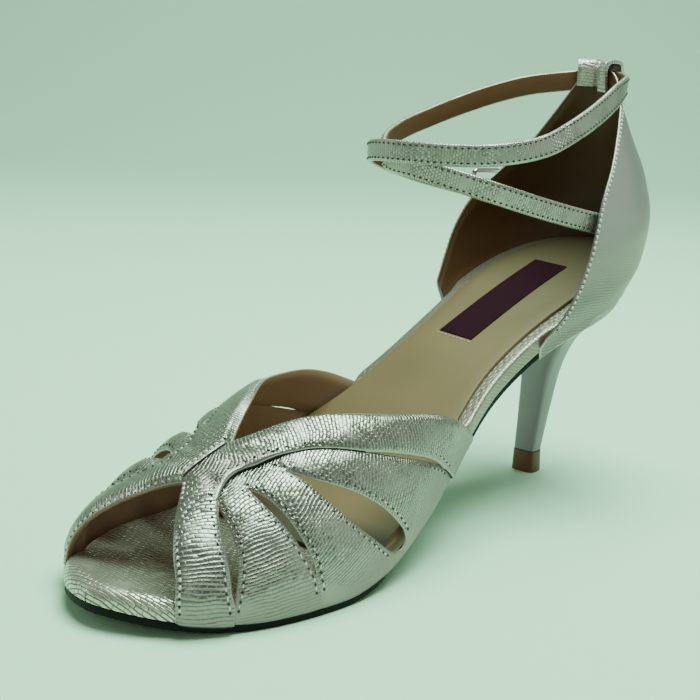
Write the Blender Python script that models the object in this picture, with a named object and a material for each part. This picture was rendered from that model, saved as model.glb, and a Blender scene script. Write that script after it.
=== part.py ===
# Flamenco dance sandal, right shoe: open-toed slit upper, heel counter, crossed ankle strap, slim heel.
# X runs to the toe, Y to the medial side, Z up. The origin lies on the floor under the heel tip.
import math

import bmesh
import bpy
import numpy as np

MM = 0.001
GAP = 0.3
INSOLE_T = 5.5
HEEL_SEAT_T = 3.0
OUTSOLE_T = 2.2
SOCK_T = 1.0
SOCK_FRONT = 138.0
VAMP_WALL = 1.5
VAMP_LAP = 0.9
VAMP_PUFF = (0.8, 1.5)
COUNTER_WALL = 1.8
COUNTER_FRONT = (36.0, 25.0)
BREAST_X = 13.0
TOP_PIECE_H = 8.0
STRAP_W = 7.0
STRAP_T = 1.8
LOOP_W = 17.0
LOOP_T = 1.2
LOOP_SIDE = -2.5
BUCKLE_L = 16.5
BUCKLE_H = 14.0
WIRE_R = 0.95

# Plan of the last at the feather edge: station x, medial y, lateral y
PLAN = [
    (-28.8, 4.0, 4.0),
    (-26.2, 14.4, -5.4),
    (-19.5, 23.0, -13.8),
    (-9.0, 28.4, -20.4),
    (3.0, 30.0, -23.4),
    (15.0, 28.6, -24.0),
    (40.0, 25.4, -22.8),
    (60.0, 25.8, -23.0),
    (80.0, 30.2, -26.0),
    (105.0, 37.0, -33.0),
    (130.0, 41.0, -37.0),
    (150.0, 41.2, -37.5),
    (168.0, 38.2, -35.5),
    (183.0, 32.3, -29.0),
    (194.0, 24.8, -20.0),
    (202.0, 13.5, -9.0),
    (205.0, 3.0, 3.0),
]

# Side profile: station x, height of the insole's top
PROFILE = [
    (-28.8, 83.6),
    (-20.0, 81.4),
    (-8.0, 77.2),
    (15.0, 68.4),
    (40.0, 57.2),
    (60.0, 47.3),
    (80.0, 36.3),
    (105.0, 21.5),
    (130.0, 10.5),
    (146.0, 8.0),
    (170.0, 8.0),
    (183.0, 8.7),
    (194.0, 10.2),
    (205.0, 12.3),
]

# Instep ridge of the vamp: station x, height z, sideways y
RIDGE = [
    (60.0, 92.0, 2.0),
    (85.0, 78.0, 3.0),
    (110.0, 63.0, 4.0),
    (135.0, 50.5, 5.0),
    (156.0, 40.3, 5.2),
    (173.0, 32.7, 4.0),
    (190.0, 25.0, 3.0),
    (205.0, 17.5, 2.0),
]

# Roundness of the vamp's section: station x, medial power, lateral power
VAMP_POWER = [
    (60.0, 2.2, 1.85),
    (110.0, 2.2, 1.85),
    (140.0, 2.2, 2.1),
    (165.0, 2.2, 2.25),
    (205.0, 2.2, 2.25),
]

# Fan lines of the vamp: x at each angle, 0 at the feather edge and 90 on the ridge
FAN_ANGLES = (0, 15, 30, 45, 60, 75, 90)
FAN = [
    ("throat", (76.0, 88.0, 101.0, 115.5, 128.0, 139.5, 156.0)),
    ("lap", (91.0, 103.0, 117.0, 131.0, 143.5, 157.5, 163.0)),
    ("slit two", (119.5, 130.0, 139.8, 147.7, 153.8, 160.0, 165.0)),
    ("slit three", (155.0, 157.0, 159.9, 162.3, 164.4, 167.0, 168.0)),
    ("slit four", (181.0, 180.4, 178.8, 177.2, 175.0, 171.6, 170.5)),
    ("toe", (193.5, 193.2, 192.0, 190.5, 187.5, 182.0, 173.0)),
]

# How far each fan line sits further back on the lateral side, at the feather edge
LATERAL_BACK = {"throat": 8.5, "lap": 7.5, "slit two": 6.5, "slit three": 4.0, "slit four": 1.5, "toe": 0.0}

# Half width of each slit along x, medial then lateral: angle, half width
SLITS = {
    "lap": ([(8, 0.0), (14, 0.7), (24, 1.0), (36, 0.8), (44, 0.0)],
            [(8, 0.0), (14, 0.5), (24, 0.7), (36, 0.9), (46, 1.3), (54, 0.9), (60, 0.0)]),
    "slit two": ([(2, 0.0), (4, 3.0), (10, 4.4), (20, 4.9), (30, 4.2), (40, 2.7), (50, 0.9), (60, 0.0)],
                 [(2, 0.0), (4, 3.0), (10, 4.4), (20, 4.9), (30, 4.4), (40, 3.4), (50, 2.4), (60, 1.3), (68, 0.0)]),
    "slit three": ([(12, 0.0), (18, 0.9), (26, 1.4), (36, 1.7), (46, 1.8), (56, 1.3), (64, 0.0)],
                   [(12, 0.0), (18, 0.9), (26, 1.5), (36, 2.0), (46, 2.4), (56, 2.5), (64, 2.1), (71, 1.1), (75, 0.0)]),
    "slit four": ([(8, 0.0), (16, 0.6), (30, 1.0), (42, 1.3), (54, 0.9), (68, 0.0)],
                  [(8, 0.0), (16, 0.6), (30, 1.0), (42, 1.4), (54, 1.5), (64, 1.2), (72, 0.0)]),
}
HALF_ROWS = (0, 2, 4, 8, 12, 16, 20, 24, 28, 32, 36, 40, 44, 48, 52, 56, 60, 64, 68, 72, 75, 79, 84)
KNOT = 75

# Turns of the insole's rolled edge in degrees, from its side to its top
ROLL_TURN = (0, 30, 60, 90)
BANDS = [("throat", "lap", 4), ("lap", "slit two", 4), ("slit two", "slit three", 4),
         ("slit three", "slit four", 4), ("slit four", "toe", 4)]

# Heel counter: height above the seat, bulge at the back, bulge at the sides
COUNTER_BULGE = [
    (0.0, 0.0, 0.0),
    (10.0, 4.4, 4.2),
    (22.0, 6.8, 5.0),
    (36.0, 3.6, 2.8),
    (50.0, -2.2, -3.4),
    (62.0, -5.5, -10.5),
    (70.0, -6.2, -13.0),
]

# Free edge of the counter: station x at the seat, medial height z, lateral height z
COUNTER_EDGE = [
    (-28.8, 145.0, 145.0),
    (-26.0, 142.0, 141.0),
    (-22.5, 137.0, 134.5),
    (-19.0, 133.2, 128.0),
    (-11.0, 127.0, 114.5),
    (-4.0, 121.0, 107.5),
    (4.0, 112.5, 101.0),
    (9.5, 106.2, 95.8),
    (14.0, 99.4, 89.0),
    (19.5, 86.5, 77.5),
    (25.0, 73.0, 67.5),
    (30.0, 64.6, 60.0),
    (36.0, 57.4, 52.0),
]

# Heel stem rings: front x, back x, front z, back z, half width, sideways y
HEEL = [
    (4.0, -4.6, 8.0, 8.0, 4.3, 0.0),
    (3.5, -7.0, 24.0, 24.0, 5.2, 0.9),
    (3.2, -10.6, 39.0, 41.0, 6.7, 1.8),
    (4.0, -15.8, 48.0, 52.0, 10.0, 2.5),
    (6.4, -21.8, 53.5, 60.5, 16.0, 2.9),
    (9.8, -26.4, 57.0, 67.2, 22.2, 3.1),
]

# Ankle strap, first pass: from inside the medial counter edge over the instep and back to the loop
FIRST_PASS = [
    (1.0, 31.1, 92.6),
    (10.8, 29.0, 94.3),
    (34.0, 24.0, 99.6),
    (53.0, 16.5, 105.2),
    (63.0, 6.0, 109.2),
    (67.5, -6.0, 112.0),
    (66.5, -18.0, 113.6),
    (59.0, -26.5, 117.5),
    (46.0, -30.5, 121.5),
    (30.0, -31.5, 125.5),
    (14.0, -29.5, 130.0),
    (1.0, -24.5, 134.2),
    (-9.0, -17.5, 137.4),
]

# Ankle strap, second pass: from the loop over the instep to the lateral buckle
SECOND_PASS = [
    (-10.5, 20.0, 138.0),
    (8.0, 23.6, 131.2),
    (25.0, 25.0, 125.4),
    (42.0, 24.5, 120.4),
    (58.0, 18.0, 117.8),
    (68.0, 7.0, 117.2),
    (72.6, -6.0, 117.2),
    (71.8, -18.0, 116.8),
    (64.0, -28.0, 115.0),
    (48.0, -32.0, 110.6),
    (31.0, -32.0, 106.2),
    (17.0, -30.4, 103.0),
    (6.0, -29.1, 100.8),
    (-3.0, -28.3, 99.8),
    (-12.0, -28.1, 99.8),
    (-20.0, -29.2, 100.6),
    (-27.0, -31.2, 101.6),
]
BUCKLE_AT = (-5.0, -28.2, 99.8)


def curve(table, column):
    """Monotone cubic through one column of a table, read by its first column."""
    xs = np.array([row[0] for row in table], float)
    ys = np.array([row[column] for row in table], float)
    step = np.diff(xs)
    rise = np.diff(ys) / step
    slope = np.zeros_like(ys)
    slope[0], slope[-1] = rise[0], rise[-1]
    for i in range(1, len(xs) - 1):
        if rise[i - 1] * rise[i] > 0:
            a = 2 * step[i] + step[i - 1]
            b = step[i] + 2 * step[i - 1]
            slope[i] = (a + b) / (a / rise[i - 1] + b / rise[i])

    def at(x):
        x = np.clip(np.asarray(x, float), xs[0], xs[-1])
        i = np.clip(np.searchsorted(xs, x) - 1, 0, len(step) - 1)
        t = (x - xs[i]) / step[i]
        low = ys[i] * (1 + 2 * t) * (1 - t) ** 2 + slope[i] * step[i] * t * (1 - t) ** 2
        high = ys[i + 1] * t * t * (3 - 2 * t) + slope[i + 1] * step[i] * t * t * (t - 1)
        return low + high

    return at


def smooth_path(points, count, closed=False):
    """Points evenly spaced along a Catmull-Rom curve."""
    p = np.array(points, float)
    if closed:
        p = np.vstack([p[-1], p, p[0], p[1]])
    else:
        p = np.vstack([2 * p[0] - p[1], p, 2 * p[-1] - p[-2]])
    dense = []
    for i in range(1, len(p) - 2):
        knots = [0.0]
        for j in range(3):
            knots.append(knots[-1] + np.linalg.norm(p[i + j] - p[i + j - 1]) ** 0.5)
        t = np.linspace(knots[1], knots[2], 24, endpoint=False)[:, None]
        a = [((knots[j + 1] - t) * p[i + j - 1] + (t - knots[j]) * p[i + j]) / (knots[j + 1] - knots[j])
             for j in range(3)]
        b = [((knots[j + 2] - t) * a[j] + (t - knots[j]) * a[j + 1]) / (knots[j + 2] - knots[j])
             for j in range(2)]
        dense.append(((knots[2] - t) * b[0] + (t - knots[1]) * b[1]) / (knots[2] - knots[1]))
    dense = np.vstack(dense + [p[-2][None]])
    run = np.r_[0, np.cumsum(np.linalg.norm(np.diff(dense, axis=0), axis=1))]
    want = np.linspace(0, run[-1], count + 1 if closed else count)
    out = np.column_stack([np.interp(want, run, dense[:, k]) for k in range(p.shape[1])])
    return out[:-1] if closed else out


def unit(v):
    return v / np.linalg.norm(v, axis=-1, keepdims=True)


insole_top = curve(PROFILE, 1)
ridge_z = curve(RIDGE, 1)
ridge_y = curve(RIDGE, 2)
roundness = curve(VAMP_POWER, 1), curve(VAMP_POWER, 2)
bulge_back = curve(COUNTER_BULGE, 1)
bulge_side = curve(COUNTER_BULGE, 2)
counter_edge = curve(COUNTER_EDGE, 1), curve(COUNTER_EDGE, 2)
fan_x = {name: curve(list(zip(FAN_ANGLES, xs)), 1) for name, xs in FAN}
slit_half = {name: [curve(rows, 1) for rows in sides] for name, sides in SLITS.items()}

# The closed plan outline, medial side forward and lateral side back, with its outward normal
OUTLINE = smooth_path([(x, m) for x, m, _ in PLAN] + [(x, l) for x, _, l in PLAN[-2:0:-1]], 640, True)
TANGENT = unit(np.roll(OUTLINE, -1, 0) - np.roll(OUTLINE, 1, 0))
NORMAL = np.column_stack([-TANGENT[:, 1], TANGENT[:, 0]])
TIP = int(OUTLINE[:, 0].argmax())
LATERAL = np.arange(len(OUTLINE)) > TIP


def seat(x):
    """Underside of the insole, on which the upper's lower edge stands."""
    return insole_top(x) - INSOLE_T - HEEL_SEAT_T * (1 - between(x, -2.0, 34.0))


def plan_sides(inset):
    """Medial and lateral y as functions of x for an outline drawn in by inset(x, on the lateral side)."""
    p = OUTLINE - NORMAL * inset(OUTLINE[:, 0], LATERAL)[:, None]
    front = int(p[:, 0].argmax())
    medial, lateral = p[:front + 1], np.vstack([p[front:], p[:1]])[::-1]
    medial = medial[np.argsort(medial[:, 0])]
    lateral = lateral[np.argsort(lateral[:, 0])]
    ends = (p[:, 0].min(), p[:, 0].max())
    return (lambda x: np.interp(x, medial[:, 0], medial[:, 1]),
            lambda x: np.interp(x, lateral[:, 0], lateral[:, 1]), ends)


feather_medial, feather_lateral, _ = plan_sides(lambda x, lateral: 0.0 * x)


def between(x, start, stop):
    """Smooth step from 0 to 1."""
    t = np.clip((x - start) / (stop - start), 0, 1)
    return t * t * (3 - 2 * t)


def insole_inset(x, lateral):
    front = np.where(lateral, COUNTER_FRONT[1], COUNTER_FRONT[0])
    under_counter = 1 - between(x, front + 0.4, front + 5)
    under_vamp = between(x, 61.5, 67.0) * (1 - between(x, 193.8, 195.4))
    return 0.3 + 2.1 * under_counter + (2.5 + 0.7 * between(x, 160.0, 190.0)) * under_vamp


def outsole_inset(x, lateral):
    return 0.9 - 0.7 * between(x, 128.0, 140.0) + 2.2 * between(x, 78.0, 92.0) * (1 - between(x, 118.0, 134.0))


def sock_inset(x, lateral):
    return 4.6 + 2.0 * lateral * between(x, -4.0, 20.0) * (1 - between(x, 80.0, 110.0))


class Body:
    """Points welded by place, with faces between them."""

    def __init__(self):
        self.points = []
        self.seen = {}
        self.faces = []

    def point(self, p):
        key = tuple(int(round(float(c) * 2000)) for c in p)
        if key not in self.seen:
            self.seen[key] = len(self.points)
            self.points.append(tuple(float(c) * MM for c in p))
        return self.seen[key]

    def face(self, *ids):
        ring = [a for i, a in enumerate(ids) if a != ids[i - 1]]
        if len(set(ring)) > 2:
            self.faces.append(ring)

    def grid(self, points, flip=False):
        ids = [[self.point(p) for p in row] for row in points]
        for i in range(len(ids) - 1):
            for j in range(len(ids[0]) - 1):
                quad = (ids[i][j], ids[i + 1][j], ids[i + 1][j + 1], ids[i][j + 1])
                self.face(*(quad[::-1] if flip else quad))
        return ids

    def build(self, name, hex_colour, metallic, rough):
        mesh = bpy.data.meshes.new(name)
        mesh.from_pydata(self.points, [], self.faces)
        work = bmesh.new()
        work.from_mesh(mesh)
        bmesh.ops.triangulate(work, faces=[f for f in work.faces if len(f.verts) > 4])
        bmesh.ops.recalc_face_normals(work, faces=work.faces)
        if work.calc_volume(signed=True) < 0:
            bmesh.ops.reverse_faces(work, faces=work.faces)
        work.to_mesh(mesh)
        work.free()
        obj = bpy.data.objects.new(name, mesh)
        bpy.context.scene.collection.objects.link(obj)
        skin = bpy.data.materials.new(name + "_skin")
        skin.use_nodes = True
        shader = skin.node_tree.nodes["Principled BSDF"]
        rgb = [int(hex_colour[i:i + 2], 16) / 255 for i in (1, 3, 5)]
        linear = [c / 12.92 if c < 0.04045 else ((c + 0.055) / 1.055) ** 2.4 for c in rgb]
        shader.inputs["Base Color"].default_value = (*linear, 1)
        shader.inputs["Metallic"].default_value = metallic
        shader.inputs["Roughness"].default_value = rough
        mesh.materials.append(skin)
        return obj


def slab(inset, start, stop, top, bottom, count):
    """A sheet that follows the last: stations across x, straight from side to side."""
    medial, lateral, ends = plan_sides(inset)
    x0 = ends[0] if start is None else start
    x1 = ends[1] if stop is None else stop
    t = np.linspace(0, 1, count)
    x = x0 + (x1 - x0) * (1 - np.cos(math.pi * t)) / 2
    rings = []
    for v in x:
        m, l = medial(v), lateral(v)
        rings.append([(v, m, bottom(v)), (v, l, bottom(v)), (v, l, top(v)), (v, m, top(v))])
    return rings


def rolled_slab(inset, top, bottom, roll, count):
    """The insole: a slab whose upper edge is rolled over by the radius roll(x)."""
    levels = []
    for q in np.radians(ROLL_TURN):
        medial, lateral, ends = plan_sides(lambda x, side: inset(x, side) + roll(x) * (1 - math.cos(q)))
        levels.append((medial, lateral, ends, math.sin(q)))
    rings = []
    for s in (1 - np.cos(math.pi * np.linspace(0, 1, count))) / 2:
        near, far = [], []
        for medial, lateral, (x0, x1), rise in levels:
            x = x0 + (x1 - x0) * s
            z = top(x) - roll(x) * (1 - rise)
            near.append((x, medial(x), z))
            far.append((x, lateral(x), z))
        x, m, _ = near[0]
        rings.append([(x, m, bottom(x)), (x, far[0][1], bottom(x))] + far + near[::-1])
    return rings


def insole_roll(x):
    return 1.2 + 3.0 * between(x, 184.0, 197.0)


def tube(body, rings, closed=False):
    """Skin through rings of points, capped by strips unless the run closes on itself."""
    ids = [[body.point(p) for p in ring] for ring in rings]
    n = len(ids[0])
    pairs = range(len(ids) if closed else len(ids) - 1)
    for i in pairs:
        a, b = ids[i], ids[(i + 1) % len(ids)]
        for j in range(n):
            k = (j + 1) % n
            body.face(a[j], b[j], b[k], a[k])
    if not closed:
        for ring, turn in ((ids[0], 1), (ids[-1], -1)):
            for j in range(n // 2):
                quad = (ring[j], ring[j + 1], ring[(n - 1 - j) % n], ring[-j % n])
                body.face(*quad[::turn])
    return ids


def vamp_point(x, angle):
    """Upper's outer surface: angle 0 medial feather edge, 90 ridge, 180 lateral feather edge."""
    a = np.radians(np.where(angle > 90, 180 - angle, angle))
    low, top, mid = seat(x), ridge_z(x), ridge_y(x)
    edge = np.where(angle > 90, feather_lateral(x), feather_medial(x))
    power = 2 / np.where(angle > 90, roundness[1](x), roundness[0](x))
    y = mid + (edge - mid) * np.cos(a).clip(0) ** power
    z = low + (top - low) * np.sin(a).clip(0) ** power
    return np.stack([x, y, z], -1)


def vamp_normal(x, angle):
    """Outward normal of the smooth vamp, from small steps along it."""
    a0, a1 = np.clip(angle - 1.5, 0, 180), np.clip(angle + 1.5, 0, 180)
    along = vamp_point(x + 0.5, angle) - vamp_point(x - 0.5, angle)
    round_ = vamp_point(x, a1) - vamp_point(x, a0)
    return unit(np.cross(round_, along))


def fan_line(name, angle):
    """x of a fan line at an angle counted right round the vamp."""
    a = min(angle, 180 - angle)
    x = fan_x[name](a)
    if angle > 90:
        x = x - LATERAL_BACK[name] * math.cos(math.radians(a)) ** 0.8
    return x


def slit_open(name, angle):
    """Half width of the slit on a fan line at an angle counted right round the vamp."""
    if name not in slit_half:
        return 0.0
    return slit_half[name][1 if angle > 90 else 0](min(angle, 180 - angle))


def band_columns(left, right, count, angle):
    """x of each column of one band at one angle."""
    x0 = fan_line(left, angle) + slit_open(left, angle)
    x1 = fan_line(right, angle) - slit_open(right, angle)
    return np.linspace(x0, x1, count + 1)


def pillow(share):
    """Soft rise of a band from edge to edge."""
    return max(0.0, 1 - (2 * share - 1) ** 2) ** 0.6


def make_vamp():
    rows = list(HALF_ROWS) + [90] + [180 - a for a in HALF_ROWS[::-1]]
    outer, inner = Body(), Body()
    pair = {}

    def put(x, angle, raised, share=0.0):
        x, angle = np.float64(x), np.float64(angle)
        base, n = vamp_point(x, angle), vamp_normal(x, angle)
        a = min(angle, 180 - angle)
        filled = VAMP_PUFF[1 if angle > 90 else 0] * pillow(share) * between(a, 3, 16) * (1 - between(a, 56, KNOT))
        o = outer.point(base + n * (VAMP_LAP if raised else filled))
        pair[o] = inner.point(base - n * VAMP_WALL)
        return o

    low_rows = [a for a in rows if a <= KNOT], [a for a in rows if a >= 180 - KNOT]
    knot_rows = [a for a in rows if KNOT <= a <= 180 - KNOT]
    for left, right, count in BANDS:
        framing = left == "throat" or right == "toe"
        patches = [(rows, True)] if framing else [(low_rows[0], False), (low_rows[1], False), (knot_rows, True)]
        for angles, raised in patches:
            ids = [[put(x, a, raised, j / count) for j, x in enumerate(band_columns(left, right, count, a))]
                   for a in angles]
            for i in range(len(ids) - 1):
                for j in range(count):
                    outer.face(ids[i][j], ids[i][j + 1], ids[i + 1][j + 1], ids[i + 1][j])
        if not framing:
            # the framing strip's edge across the knot
            for a in (KNOT, 180 - KNOT):
                xs = band_columns(left, right, count, a)
                for j in range(count):
                    low = put(xs[j], a, False, j / count), put(xs[j + 1], a, False, (j + 1) / count)
                    outer.face(*low, put(xs[j + 1], a, True), put(xs[j], a, True))
    for name in ("lap", "slit four"):
        # the framing strip's edge along the fan
        for angles in low_rows:
            for a0, a1 in zip(angles[:-1], angles[1:]):
                if slit_open(name, a0) > 1e-6 or slit_open(name, a1) > 1e-6:
                    continue
                x0, x1 = fan_line(name, a0), fan_line(name, a1)
                outer.face(put(x0, a0, True), put(x1, a1, True), put(x1, a1, False), put(x0, a0, False))
    return wall(outer, inner, pair)


def wall(outer, inner, pair):
    """Close an outer skin and its inner twin with a rim along every open edge."""
    shift = len(outer.points)
    body = Body()
    body.points = outer.points + inner.points
    edges = {}
    for face in outer.faces:
        for a, b in zip(face, face[1:] + face[:1]):
            edges.setdefault((min(a, b), max(a, b)), []).append((a, b))
    for face in outer.faces:
        body.face(*face)
        body.face(*[pair[i] + shift for i in face][::-1])
    for uses in edges.values():
        if len(uses) == 1:
            a, b = uses[0]
            body.face(b, a, pair[a] + shift, pair[b] + shift)
    return body


def heel_run(count):
    """Plan points and normals round the heel, from the medial counter front to the lateral one."""
    order = list(range(TIP, -1, -1)) + list(range(len(OUTLINE) - 1, TIP, -1))
    keep = [i for i in order if OUTLINE[i, 0] <= COUNTER_FRONT[0 if i <= TIP else 1]]
    p, n = OUTLINE[keep], NORMAL[keep]
    run = np.r_[0, np.cumsum(np.linalg.norm(np.diff(p, axis=0), axis=1))]
    want = np.linspace(0, run[-1], count)
    plan = np.column_stack([np.interp(want, run, p[:, k]) for k in (0, 1)])
    normal = unit(np.column_stack([np.interp(want, run, n[:, k]) for k in (0, 1)]))
    return plan, normal


def counter_at(plan, normal, height):
    """Counter's outer surface over one plan point, at a height above the seat."""
    back = np.clip(-normal[0], 0, 1)
    out = back * bulge_back(height) + (1 - back) * bulge_side(height)
    return np.array([plan[0] + normal[0] * out, plan[1] + normal[1] * out, seat(plan[0]) + height])


def make_counter():
    plan, normal = heel_run(45)
    levels = np.linspace(0, 1, 14)
    back = int(plan[:, 0].argmin())
    tall = [counter_edge[0 if i <= back else 1](p[0]) - seat(p[0]) for i, p in enumerate(plan)]
    skin = np.array([[counter_at(p, n, t * h) for t in levels] for p, n, h in zip(plan, normal, tall)])
    du, dv = np.gradient(skin, axis=0), np.gradient(skin, axis=1)
    n = unit(np.cross(du, dv))
    flat = np.concatenate([normal, np.zeros((len(normal), 1))], 1)[:, None, :]
    n *= np.sign((n * flat).sum(-1, keepdims=True))
    lining = skin - n * COUNTER_WALL
    lining[:, 0, 2] = skin[:, 0, 2]
    outer, inner, pair = Body(), Body(), {}
    ids = outer.grid(skin)
    for i, row in enumerate(ids):
        for j, o in enumerate(row):
            pair[o] = inner.point(lining[i, j])
    return wall(outer, inner, pair)


def back_point(across, out, z):
    """Point behind the counter: across along its back from the centre, out from its surface."""
    plan, normal = heel_run(401)
    run = np.r_[0, np.cumsum(np.linalg.norm(np.diff(plan, axis=0), axis=1))]
    want = run[int(plan[:, 0].argmin())] - across
    p = np.array([np.interp(want, run, plan[:, k]) for k in (0, 1)])
    n = unit(np.array([np.interp(want, run, normal[:, k]) for k in (0, 1)]))
    q = counter_at(p, n, np.clip(z - seat(p[0]), 0, 70))
    return np.array([q[0] + n[0] * out, q[1] + n[1] * out, z])


def make_loop():
    """Leather folded over the counter's top and behind the strap."""
    inside = -(COUNTER_WALL + GAP + 0.2 + LOOP_T / 2)
    outside = 2 * GAP + STRAP_T + 1.2 + LOOP_T / 2
    profile = [(inside, 138.2), (inside, 141.0), (inside, 144.4), (inside * 0.55, 146.7), (0.6, 147.2),
               (outside - 0.5, 146.6), (outside, 144.6), (outside, 140.0), (outside, 136.6),
               (outside - 0.8, 134.4), (1.5, 133.0), (GAP + 0.2 + LOOP_T / 2, 131.4)]
    fine = smooth_path(profile, 22)
    side = unit(np.gradient(fine, axis=0))
    face = np.column_stack([-side[:, 1], side[:, 0]]) * LOOP_T / 2
    ring = np.vstack([fine + face, (fine - face)[::-1]])
    body = Body()
    spread = LOOP_W / 2 * 1.18
    tube(body, [[back_point(s + LOOP_SIDE, r, z) for r, z in ring] for s in np.linspace(-spread, spread, 11)])
    return body


def strap_path(count):
    back = [back_point(s, 1.0 + STRAP_T / 2, z) for s, z in
            ((-16, 139.6), (-11, 140.2), (-4, 140.5), (4, 140.4), (11, 140.0), (16, 139.4))]
    return smooth_path(FIRST_PASS + back + SECOND_PASS, count)


def strap_frame(path):
    """Tangent, outward face and width direction along the strap."""
    along = unit(np.gradient(path, axis=0))
    axis = np.array([20.0, 0.0, 0.0])
    out = path - axis
    out[:, 2] = 0
    out /= np.array([1.5, 1.0, 1.0])
    out = unit(out - (out * along).sum(1, keepdims=True) * along)
    return along, out, np.cross(along, out)


def make_strap():
    path = strap_path(124)
    _, out, wide = strap_frame(path)
    half_w, half_t = STRAP_W / 2, STRAP_T / 2
    shape = [(-half_w, -half_t + 0.4), (-half_w + 0.5, -half_t), (half_w - 0.5, -half_t), (half_w, -half_t + 0.4),
             (half_w, half_t - 0.4), (half_w - 0.5, half_t), (-half_w + 0.5, half_t), (-half_w, half_t - 0.4)]
    body = Body()
    rings = []
    for i, p in enumerate(path):
        tip = min(1.0, 0.35 + 0.2 * (len(path) - 1 - i))
        rings.append([p + wide[i] * w * tip + out[i] * t for w, t in shape])
    tube(body, rings)
    return body


def buckle_frame_axes():
    path = strap_path(600)
    along, out, wide = strap_frame(path)
    late = len(path) * 3 // 4
    i = late + int(np.linalg.norm(path[late:] - np.array(BUCKLE_AT), axis=1).argmin())
    return path[i], along[i], out[i], wide[i]


def wire(body, path, radius, closed):
    """Round wire along a path."""
    p = np.array(path)
    along = unit(np.roll(p, -1, 0) - np.roll(p, 1, 0)) if closed else unit(np.gradient(p, axis=0))
    centre = p.mean(0)
    up = np.cross(p[1] - p[0], centre - p[0]) if closed else np.array([0.0, 0.0, 1.0])
    up = up / np.linalg.norm(up)
    rings = []
    for q, t in zip(p, along):
        side = unit(np.cross(up, t))
        top = np.cross(t, side)
        rings.append([q + radius * (math.cos(a) * side + math.sin(a) * top)
                      for a in np.linspace(0, 2 * math.pi, 8, endpoint=False)])
    tube(body, rings, closed)


def make_buckle():
    at, along, out, wide = buckle_frame_axes()
    lift = STRAP_T / 2 + 2 * GAP + WIRE_R
    a, b, r = BUCKLE_L / 2 - WIRE_R, BUCKLE_H / 2 - WIRE_R, 1.6
    ring = []
    for cx, cy, turn in ((a - r, b - r, 0), (-a + r, b - r, 90), (-a + r, -b + r, 180), (a - r, -b + r, 270)):
        for k in (0, 30, 60, 90):
            q = math.radians(turn + k)
            ring.append((cx + r * math.cos(q), cy + r * math.sin(q)))
    body = Body()
    wire(body, [at + along * u + wide * v + out * lift for u, v in ring], WIRE_R, True)
    return body


def make_prong():
    at, along, out, wide = buckle_frame_axes()
    lift = STRAP_T / 2 + GAP + 0.6
    reach = BUCKLE_L / 2 - 2 * WIRE_R - GAP - 0.4
    body = Body()
    wire(body, [at + along * u + out * lift for u in np.linspace(-reach, reach, 5)], 0.6, False)
    return body


def ring_d(front, back, z_front, z_back, half, side):
    """Heel section with a flat breast in front and a round back."""
    middle = back + (front - back) * 0.66
    points = []
    for q in np.linspace(0, 2 * math.pi, 28, endpoint=False):
        c, s = math.cos(q), math.sin(q)
        x = middle + (front - middle) * abs(c) ** 0.3 if c > 0 else middle + (back - middle) * abs(c) ** 0.95
        y = side + half * math.copysign(abs(s) ** 0.92, s)
        z = z_front + (z_back - z_front) * (front - x) / (front - back)
        points.append((x, y, z))
    return points


def make_heel():
    body = Body()
    rings = [ring_d(*row) for row in HEEL]
    top = ring_d(BREAST_X - GAP, -28.0, 0, 0, 25.9, 3.0)
    medial, lateral, _ = plan_sides(lambda x, lateral: 0.6 + 0 * x)
    top = [(x, min(max(y, lateral(x)), medial(x)), seat(x) - GAP) for x, y, _ in top]
    tube(body, rings + [top])
    return body


def make_top_piece():
    body = Body()
    low = ring_d(4.3, -5.0, 0, 0, 4.6, 0.0)
    tall = TOP_PIECE_H - GAP
    high = ring_d(4.1, -4.7, tall, tall, 4.4, 0.0)
    tube(body, [low, high])
    return body


def make_insole():
    body = Body()
    tube(body, rolled_slab(insole_inset, insole_top, seat, insole_roll, 66))
    return body


def make_slab(*args):
    body = Body()
    tube(body, slab(*args))
    return body


for old in list(bpy.data.objects):
    bpy.data.objects.remove(old, do_unlink=True)

make_slab(outsole_inset, BREAST_X, None, lambda x: seat(x) - GAP, lambda x: seat(x) - GAP - OUTSOLE_T,
          60).build("outsole", "#1b1a19", 0.0, 0.6)
make_insole().build("insole", "#c9cfc4", 0.6, 0.4)
make_slab(sock_inset, None, SOCK_FRONT, lambda x: insole_top(x) + GAP + SOCK_T,
          lambda x: insole_top(x) + GAP, 56).build("sock", "#a99a78", 0.0, 0.6)
make_vamp().build("vamp", "#cfd6cb", 0.7, 0.35)
make_counter().build("counter", "#cfd6cb", 0.7, 0.35)
make_heel().build("heel", "#a9b3ab", 0.3, 0.35)
make_top_piece().build("top_piece", "#5a3a2c", 0.0, 0.6)
make_loop().build("strap_loop", "#cfd6cb", 0.7, 0.35)
make_strap().build("ankle_strap", "#cfd6cb", 0.7, 0.35)
make_buckle().build("buckle_frame", "#c8c8c4", 1.0, 0.25)
make_prong().build("buckle_prong", "#c8c8c4", 1.0, 0.25)
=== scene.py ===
import math

import bmesh
import bpy
import numpy as np
from mathutils import Matrix, Vector


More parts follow.
